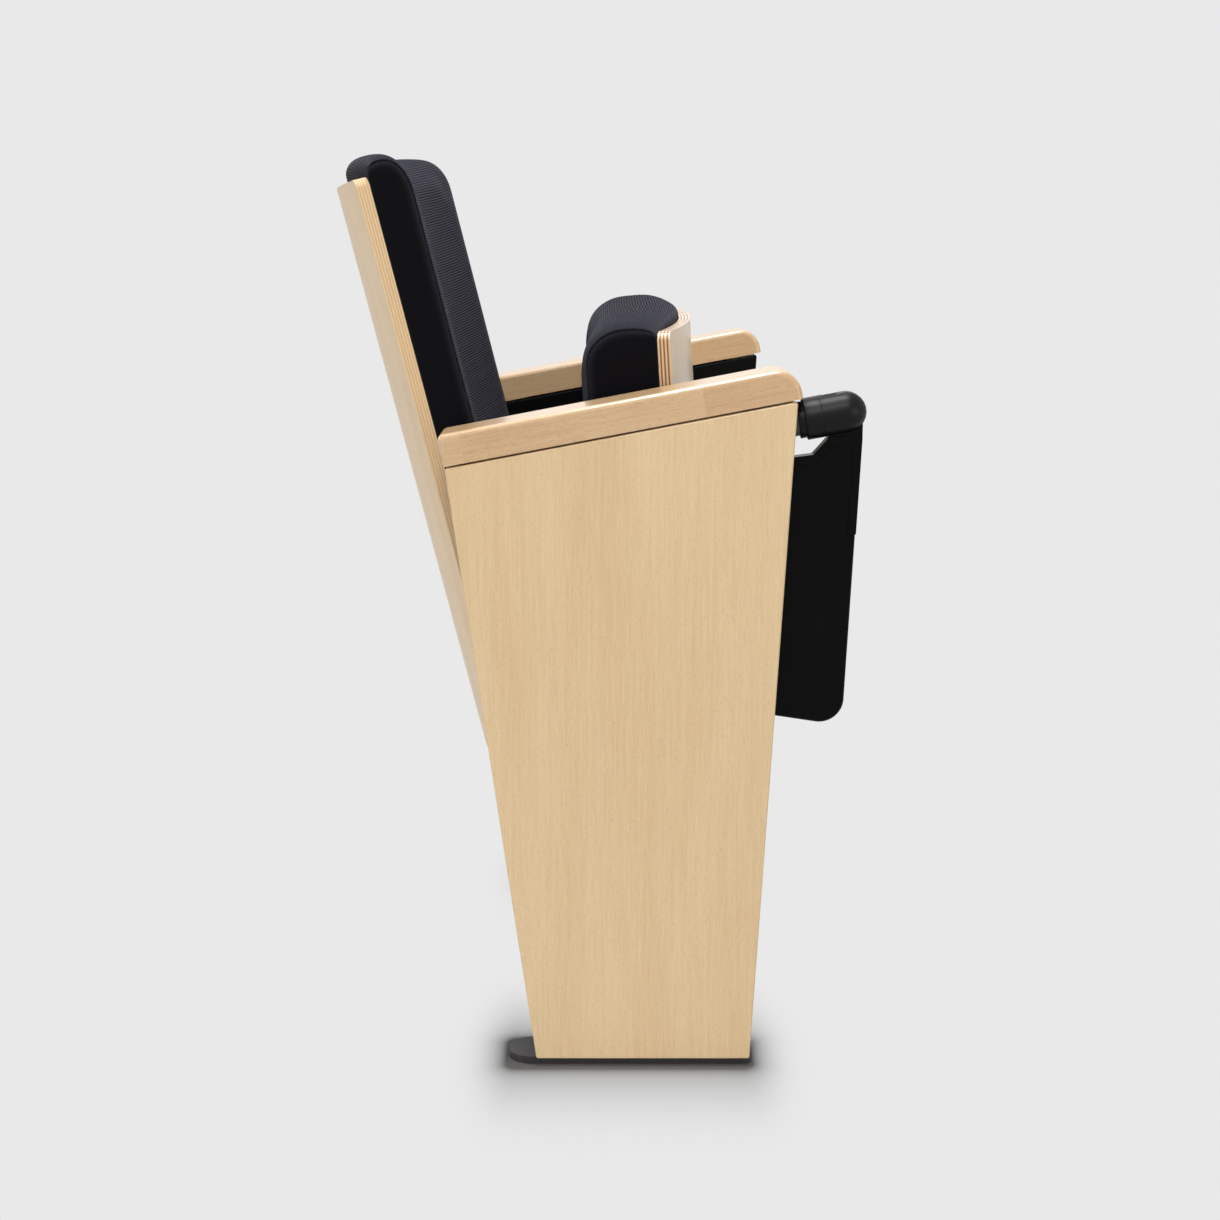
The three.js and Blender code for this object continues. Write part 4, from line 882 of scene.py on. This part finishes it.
@dataclass(frozen=True)
class TabletHead:
    """Turned sleeve with a round end at the front of the arm, slotted for the tablet's knuckle.

    Its own frame has S along the arm, forwards from the tablet's pivot.
    """

    radius: float = 0.0204
    rear: float = 0.0405
    collar: float = 0.0066
    collar_radius: float = 0.0178
    slot_floor: float = 0.0201
    slot_half: float = 0.0071
    bore: float = 0.0155
    floor_bore: float = 0.012
    ease: float = 0.0006
    crisp: float = 0.0001
    even: float = 0.008
    lap: float = 0.004
    loop_gap: float = 0.001
    lap_steps: int = 6
    tip_margin: float = 0.0004
    sides: int = 96
    dome_steps: int = 26
    arc_steps: int = 48
    wall_steps: int = 16

    def placed(self, across: np.ndarray, up: np.ndarray, forwards: np.ndarray) -> np.ndarray:
        """Turns places in the head's frame into the model's frame. The hinge pin's box gives the pivot."""
        pin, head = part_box("tablet_pin"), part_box("tablet_head")
        slant = Slant(ARM_SLOPE, ((pin[0].y + pin[1].y) / 2, (pin[0].z + pin[1].z) / 2))
        return slant.placed(across + (head[0].x + head[1].x) / 2, -forwards, up)

    def sleeve(self) -> Skin:
        """Collar and sleeve up to the slot's floor: a profile turned about the arm's axis.

        The collar's and the sleeve's edges are eased, and the one at the slot is crisp.
        """
        r, c, e, part, crisp = self.radius, self.collar_radius, self.ease, EASED * self.ease, self.crisp
        step, end = -self.rear, -self.slot_floor
        start = step - self.collar
        profile = np.array([
            (start, self.bore), (start, c - e), (start + part, c - part), (start + e, c), (step - e, c),
            (step, c + 0.2 * e), (step, r - e), (step + part, r - part), (step + e, r), (step + self.even, r),
            (end - 2 * crisp, r), (end - crisp, r), (end, r - crisp), (end, r - 3 * crisp),
            (end, self.floor_bore)])
        turn = -np.linspace(0, math.tau, self.sides, endpoint=False)
        s, girth = profile[:, :1], profile[:, 1:]
        return (self.placed(girth * np.cos(turn), girth * np.sin(turn), s),
                self.placed(np.zeros(2), np.zeros(2), np.array([start, end])))

    def cheek(self, side: float) -> Skin:
        """One cheek beside the slot, which laps into the sleeve.

        Each section square to the axis is the part of the head's circle beyond the slot's
        wall: an arc of radius r(s) and its chord. Over the round end r is the root of R
        squared minus s squared.

        Args:
            side: 1 or -1, the way it faces along X.

        Returns:
            Loops and poles.
        """
        wall, gap, rear = self.slot_half, self.loop_gap, -self.slot_floor - self.lap
        tip = math.sqrt(self.radius ** 2 - (wall + self.tip_margin) ** 2)
        dome = tip * np.sin(np.linspace(0, math.pi / 2, self.dome_steps))
        s = np.concatenate([[rear], np.linspace(rear + gap, -gap, self.lap_steps), dome])
        girth = np.sqrt(self.radius ** 2 - np.maximum(s, 0) ** 2)
        half = np.arccos(np.minimum(wall / girth, 1))
        arc = np.linspace(-1, 1, self.arc_steps + 1)[None] * half[:, None]
        across, up = girth[:, None] * np.cos(arc), girth[:, None] * np.sin(arc)
        share = np.linspace(1, -1, self.wall_steps + 1)[None, 1:-1]
        across = np.concatenate([across, np.full((len(s), self.wall_steps - 1), wall)], 1)
        up = np.concatenate([up, share * up[:, -1:]], 1)
        return (self.placed(side * across, up, s[:, None]),
                self.placed(side * across[[0, -1]].mean(1), np.zeros(2), s[[0, -1]]))

    def build(self, material: Material) -> None:
        """Makes the sleeve and both cheeks."""
        for name, skin in (("head_sleeve", self.sleeve()), ("head_cheek_right", self.cheek(-1.0)),
                           ("head_cheek_left", self.cheek(1.0))):
            fixed_piece(name, skin, material, "satin_black", "tablet_head")


@dataclass(frozen=True)
class BackBracket:
    """Bracket that carries the back at one side.

    A web lies on the stand beside the shell's edge, and a flange lies on the front of the
    shell, below the pad. Neither shows from the side. Plugs close the two holes higher up in
    the shell's rear face. Places are in the back's own frame: across, depth to the rear, and
    the place along the shell.
    """

    side: str
    low: float = 0.396
    high: float = 0.560
    flange_high: float = 0.447
    front: float = -0.0285
    rear: float = 0.019
    thickness: float = 0.005
    flange_thickness: float = 0.004
    flange_end: float = 0.190
    gap: float = 0.0003
    corner: float = 0.007
    corner_steps: int = 8
    ease: float = 0.0006
    screw_across: float = 0.211
    screw_inset: float = 0.013
    screw_radius: float = 0.0052
    screw_rise: float = 0.0024
    dome_sides: int = 24
    dome_degrees: tuple[int, ...] = (0, 0, 20, 40, 60, 75)
    sunk: float = 0.0006
    shell_thickness: float = 0.012
    plugs: tuple[float, float] = (0.468, 0.544)
    plug_across: float = 0.2096
    plug_radius: float = 0.0036
    plug_rise: float = 0.0002

    def placed(self, across: np.ndarray, depth: np.ndarray, along: np.ndarray) -> np.ndarray:
        """Turns places of the back's own frame, at this side, into the model's frame."""
        return BACK_SLANT.placed(across * (-1 if self.side == "right" else 1), depth, along)

    def plate(self, half_wide: float, half_tall: float, thick: float) -> tuple[np.ndarray, np.ndarray, np.ndarray]:
        """Rounded rectangle carried through the thickness of a plate.

        Each corner is a quarter circle, and at both faces the outline is drawn in by the ease.

        Args:
            half_wide, half_tall: half sizes of the rectangle.
            thick: thickness of the plate.

        Returns:
            Place along the width, along the height and through the plate, for each loop's points.
        """
        ease, part = self.ease, EASED * self.ease
        through = np.array([0, part, ease, thick - ease, thick - part, thick])
        inset = np.array([ease, part, 0, 0, part, ease])
        quarter = np.repeat(np.arange(4), self.corner_steps + 1) * math.pi / 2
        angle = quarter + np.tile(np.linspace(0, math.pi / 2, self.corner_steps + 1), 4)
        radius = (self.corner - inset)[:, None]
        wide = np.sign(np.cos(quarter + math.pi / 4)) * (half_wide - self.corner) + radius * np.cos(angle)
        tall = np.sign(np.sin(quarter + math.pi / 4)) * (half_tall - self.corner) + radius * np.sin(angle)
        return wide, tall, np.broadcast_to(through[:, None], wide.shape)

    def web(self, face: float) -> Skin:
        """Plate on the stand. Face is its outer side, and it follows the recline."""
        wide, tall, through = self.plate((self.rear - self.front) / 2, (self.high - self.low) / 2, self.thickness)
        depth, along = (self.rear + self.front) / 2, (self.high + self.low) / 2
        ends = face - np.array([0, self.thickness])
        return self.placed(face - through, depth + wide, along + tall), self.placed(ends, depth, along)

    def flange(self, face: float) -> Skin:
        """Plate on the front of the shell, parallel to the shell's bend."""
        middle, half = (face + self.flange_end) / 2, (face - self.flange_end) / 2
        wide, tall, through = self.plate(half, (self.flange_high - self.low) / 2, self.flange_thickness)
        along = (self.flange_high + self.low) / 2
        across = middle + wide
        ends = BACK_BEND.inner(middle, -self.gap - np.array([0, self.flange_thickness]))
        return (self.placed(across, BACK_BEND.inner(across, -self.gap - through), along + tall),
                self.placed(middle, ends, along))

    def dome(self, along: float, across: float, radius: float, rise: float, beyond: float) -> Skin:
        """Low dome on a face parallel to the shell's: a quarter of an ellipse turned about its middle.

        Args:
            along, across: its place.
            radius: its size.
            rise: its height, positive to the rear.
            beyond: distance of the face from the shell's inner face.

        Returns:
            Loops and poles.
        """
        turn = np.linspace(0, math.tau, self.dome_sides, endpoint=False)[None]
        angle = np.radians(self.dome_degrees)[:, None]
        height = rise * np.sin(angle)
        height[0] = -math.copysign(self.sunk, rise)
        x = across + radius * np.cos(angle) * np.cos(turn)
        ends = BACK_BEND.inner(across, beyond) + np.array([height[0, 0], rise])
        return (self.placed(x, BACK_BEND.inner(x, beyond) + height, along + radius * np.cos(angle) * np.sin(turn)),
                self.placed(across, ends, along))

    def build(self, steel: Material, bright: Material, wood: Material) -> None:
        """Makes the bracket, its two screws and two plugs.

        Args:
            steel: finish of the plates.
            bright: finish of the screws.
            wood: finish of the plugs.
        """
        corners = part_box(f"{self.side}_back_bracket")
        face = max(abs(corners[0].x), abs(corners[1].x))
        screw = (self.screw_across, self.screw_radius, -self.screw_rise, -self.gap - self.flange_thickness)
        plug = (self.plug_across, self.plug_radius, self.plug_rise, self.shell_thickness)
        for name, skin, material, slot, node in (
            ("bracket_web", self.web(face), steel, "black_steel", "back_bracket"),
            ("bracket_flange", self.flange(face), steel, "black_steel", "back_bracket"),
            ("bracket_screw_low", self.dome(self.low + self.screw_inset, *screw), bright, "bare_steel",
             "back_screw_low"),
            ("bracket_screw_high", self.dome(self.flange_high - self.screw_inset, *screw), bright, "bare_steel",
             "back_screw_high"),
            ("shell_plug_low", self.dome(self.plugs[0], *plug), wood, "beech_ply", None),
            ("shell_plug_high", self.dome(self.plugs[1], *plug), wood, "beech_ply", None),
        ):
            fixed_piece(f"{self.side}_{name}", skin, material, slot, node and f"{self.side}_{node}")


def dress(material: Material, names: tuple[str, ...] | list[str]) -> None:
    """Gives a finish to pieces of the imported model."""
    for name in names:
        piece = frame["nodes"][name]
        piece.data.materials.clear()
        piece.data.materials.append(material)
        LOG.info("%s: %s", name, material.name)


@dataclass(frozen=True)
class Joinery:
    """Finishes of the wooden pieces."""

    uprights: WoodFinish = WoodFinish("beech veneer", flecks=0.2)
    arms: WoodFinish = WoodFinish("solid beech", pale=linear(208, 174, 132), warm=linear(182, 140, 96),
                                  fleck=linear(166, 108, 62), grain=Grain.ALONG_ARM, streak=1.1, flecks=0.35,
                                  stave=0.118, coat=0.9)
    strips: WoodFinish = WoodFinish("plain strips", pale=linear(206, 176, 128), warm=linear(180, 144, 96),
                                    streak=1.3, flecks=0.1)
    back: PlyFinish = PlyFinish("bent plywood back", grain=Grain.ALONG_BACK, flecks=0.15)
    # The seat's cross plies and glue lines are darker than the back's: partly the layers' own tone, partly painted
    # shade on the seat's edge.
    seat: PlyFinish = PlyFinish("bent plywood seat", grain=Grain.ALONG_SEAT, slant=SEAT_SLANT, bend=SEAT_BEND,
                                flecks=0.15, cross=linear(128, 72, 34), glue=linear(104, 60, 30), strength=1.0,
                                plies=7.0, coat=0.6)

    def build(self, effects: Effects) -> dict[str, Material]:
        """Gives each wooden piece its finish.

        Returns:
            Material by the first piece that has it.
        """
        made = {}
        for finish, names in (
            (self.uprights, ("right_outer_panel", "left_outer_panel")),
            (self.arms, ("right_armrest", "left_armrest")),
            (self.strips, ("right_rear_batten", "left_rear_batten", "right_front_batten", "left_front_batten")),
            (self.back, ("back_shell",)),
            (self.seat, ("seat_shell",)),
        ):
            made[names[0]] = finish.build(effects)
            dress(made[names[0]], names)
        return made


@dataclass(frozen=True)
class Hardware:
    """Finishes of the metal, plastic and rubber pieces, by slot, and that of the tablet's head."""

    finishes: tuple[tuple[str, SurfaceFinish], ...] = (
        ("black_steel", SurfaceFinish("dark powder coat", linear(50, 47, 51), linear(70, 68, 72), 0.42,
                                      spread=0.12, grain=1400, depth=0.00015)),
        ("bare_steel", SurfaceFinish("zinc plated steel", linear(150, 150, 154), linear(188, 188, 190), 0.32,
                                     spread=0.2, grain=700, metallic=1.0)),
        ("head", SurfaceFinish("satin black head", linear(6, 6, 7), linear(9, 9, 10), 0.42,
                               spread=0.06, depth=0.00003, specular=0.2)),
        ("black_board", SurfaceFinish("black board", linear(6, 5, 5), linear(10, 9, 9), 0.5,
                                      grain=500, specular=0.08)),
        ("satin_black", SurfaceFinish("satin black moulding", linear(7, 6, 7), linear(11, 11, 12), 0.32,
                                      spread=0.08, specular=0.07)),
        ("rubber", SurfaceFinish("black rubber", linear(18, 18, 18), linear(34, 33, 33), 0.8,
                                 grain=800, specular=0.3)),
        ("pale_nylon", SurfaceFinish("natural nylon", linear(214, 212, 204), linear(190, 186, 176), 0.45,
                                     grain=600)),
    )

    def build(self, effects: Effects) -> dict[str, Material]:
        """Gives each remaining piece the finish of its slot in the record.

        Returns:
            Material by slot.
        """
        slots = {part["node"]: part["material_slot"] for part in frame["record"]["subparts"]}
        made = {slot: finish.build(effects) for slot, finish in self.finishes}
        for slot, material in made.items():
            dress(material, [node for node in sorted(slots) if slots[node] == slot])
        return made


@dataclass(frozen=True)
class Softbox:
    """Square area light of a studio."""

    name: str
    place: tuple[float, float, float]
    target: tuple[float, float, float]
    size: float
    radiance: float

    def build(self) -> None:
        """Makes the light. Its power is radiance times area times pi."""
        data = bpy.data.lights.new(self.name, "AREA")
        data.size = self.size
        data.energy = self.radiance * math.pi * self.size ** 2
        made = added(self.name, data)
        made.location = self.place
        made.rotation_euler = (Vector(self.target) - Vector(self.place)).to_track_quat("-Z", "Y").to_euler()
        made.visible_camera = False


@dataclass(frozen=True)
class Studio:
    """Plain floor, soft lights and the camera of the photograph."""

    backdrop: tuple = linear(233, 233, 233)
    world_strength: float = 0.16
    floor_grey: float = 0.76
    shadow_grey: float = 0.15
    camera_place: tuple[float, float, float] = (-2.214, 0.0, 0.8776)
    # The photograph is 1220 pixels wide, its focal length 2008, and its horizon 423 above the middle.
    pitch: float = math.atan(423 / 2008)
    sensor: float = 36.0
    lens: float = 36.0 * 2008 / 1220
    floor_size: float = 14.0
    stand_x: float = 0.275
    plate_half_width: float = 0.025
    plate_middle: float = -0.0405
    plate_half_length: float = 0.115
    # Reach and strength of the shadow's broad and close parts, how much shorter the broad
    # part is lengthwise, and how much of it is missing under the far stand.
    broad_reach: float = 0.100
    broad_share: float = 0.46
    broad_squeeze: float = 9.0
    close_reach: float = 0.012
    close_share: float = 1.5
    far_loss: float = 0.7
    softboxes: tuple[Softbox, ...] = (
        Softbox("camera side softbox", (-2.3, 0.1, 2.6), (-0.2, 0, 0.4), 0.9, 12.6),
        Softbox("front side softbox", (-2.6, -2.7, 0.6), (-0.2, 0, 0.2), 2.0, 2.4),
        Softbox("rear side softbox", (-2.6, 2.6, 0.6), (-0.2, 0, 0.2), 2.0, 2.0),
        Softbox("ceiling softbox", (-0.3, 0, 2.9), (-0.1, 0, 0.4), 0.9, 21.0),
        Softbox("rear softbox", (-0.5, 3.1, 1.0), (0, 0, 0.6), 1.6, 1.8),
        Softbox("far softbox", (3.0, 0, 2.6), (0, 0, 0.6), 2.6, 0.9),
    )

    def build(self) -> None:
        """Makes the stage."""
        self.world()
        self.floor()
        for softbox in self.softboxes:
            softbox.build()
        self.camera()

    def camera(self) -> None:
        """Camera above the arms, turned down a little, looking along +X."""
        data = bpy.data.cameras.new("camera")
        data.sensor_width = self.sensor
        data.lens = self.lens
        made = added("camera", data)
        x, y, z = self.camera_place
        made.location = (x, DATUM_Y + y, z)
        made.rotation_euler = (math.pi / 2 - self.pitch, 0, -math.pi / 2)
        bpy.context.scene.camera = made

    @staticmethod
    def seen_directly(graph: Graph) -> Term:
        """Gives 1 on rays from the camera, also after a reflection or through glass, and 0 on all others."""
        path = graph.node("LightPath").outputs
        mirrored = graph.math("MAXIMUM", path["Is Glossy Ray"], path["Is Transmission Ray"])
        return graph.math("MAXIMUM", path["Is Camera Ray"], mirrored)

    @staticmethod
    def emptied(tree: NodeTree) -> Graph:
        """Clears a node tree and gives its graph."""
        tree.nodes.clear()
        return Graph(tree)

    def world(self) -> None:
        """Even light from all round, with the plain backdrop where the camera or a mirror sees past the object."""
        world = bpy.data.worlds.new("studio")
        bpy.context.scene.world = world
        world.use_nodes = True
        graph = self.emptied(world.node_tree)
        light = graph.take("Background", 0, {"Color": (1, 1, 1, 1), "Strength": self.world_strength})
        seen = graph.take("Background", 0, {"Color": self.backdrop, "Strength": 1.0})
        mixed = graph.take("MixShader", 0, {0: self.seen_directly(graph), 1: light, 2: seen})
        graph.node("OutputWorld", {"Surface": mixed})

    def shade(self, graph: Graph) -> Term:
        """Share of the shadow on the floor.

        It falls with the distance from each foot plate's oblong: a broad part with the square
        of the distance, and a close part with the distance. It is weaker under the far stand.
        """
        part = graph.parts(graph.take("TexCoord", "Object"))
        off_x = graph.math("ABSOLUTE", graph.math("ABSOLUTE", part["X"]) - self.stand_x)
        off_y = graph.math("ABSOLUTE", part["Y"] - self.plate_middle)
        off_x = graph.math("MAXIMUM", off_x - self.plate_half_width, 0.0)
        off_y = graph.math("MAXIMUM", off_y - self.plate_half_length, 0.0)
        broad = off_x * off_x + off_y * off_y * self.broad_squeeze
        close = graph.math("SQRT", off_x * off_x + off_y * off_y)
        broad = graph.math("EXPONENT", broad * (-1 / self.broad_reach ** 2))
        close = graph.math("EXPONENT", close * (-1 / self.close_reach))
        near = graph.math("MINIMUM", broad * self.broad_share + close * self.close_share, 1.0)
        return near * (1.0 - graph.step(part["X"], 0.0, 0.1) * self.far_loss)

    def floor(self) -> None:
        """Pale floor. Away from the plates it shows the backdrop's own tone, and near them its shadow."""
        corner = self.floor_size / 2
        mesh = bpy.data.meshes.new("floor")
        mesh.from_pydata([(-corner, -corner, 0), (corner, -corner, 0), (corner, corner, 0), (-corner, corner, 0)],
                         [], [(0, 1, 2, 3)])
        made = added("floor", mesh)
        material = bpy.data.materials.new("pale floor")
        material.use_nodes = True
        graph = self.emptied(material.node_tree)
        shaded = graph.take("BsdfDiffuse", 0, {"Color": (*[self.shadow_grey] * 3, 1)})
        glow = graph.take("Emission", 0, {"Color": self.backdrop, "Strength": 1.0})
        seen = graph.take("MixShader", 0, {0: self.shade(graph), 1: glow, 2: shaded})
        plain = graph.take("BsdfDiffuse", 0, {"Color": (*[self.floor_grey] * 3, 1)})
        both = graph.take("MixShader", 0, {0: self.seen_directly(graph), 1: plain, 2: seen})
        graph.node("OutputMaterial", {"Surface": both})
        mesh.materials.append(material)


def main() -> None:
    """Builds the dressed seat."""
    logging.basicConfig(level=logging.INFO, format="%(name)s %(message)s")
    bpy.context.scene.view_settings.view_transform = "Standard"
    effects = Effects()
    Studio().build()
    joinery = Joinery().build(effects)
    hardware = Hardware().build(effects)
    TabletHead().build(hardware["head"])
    for side in ("right", "left"):
        BackBracket(side).build(hardware["black_steel"], hardware["bare_steel"], joinery["back_shell"])
    Upholstery().build(effects)


if __name__ == "__main__":
    main()
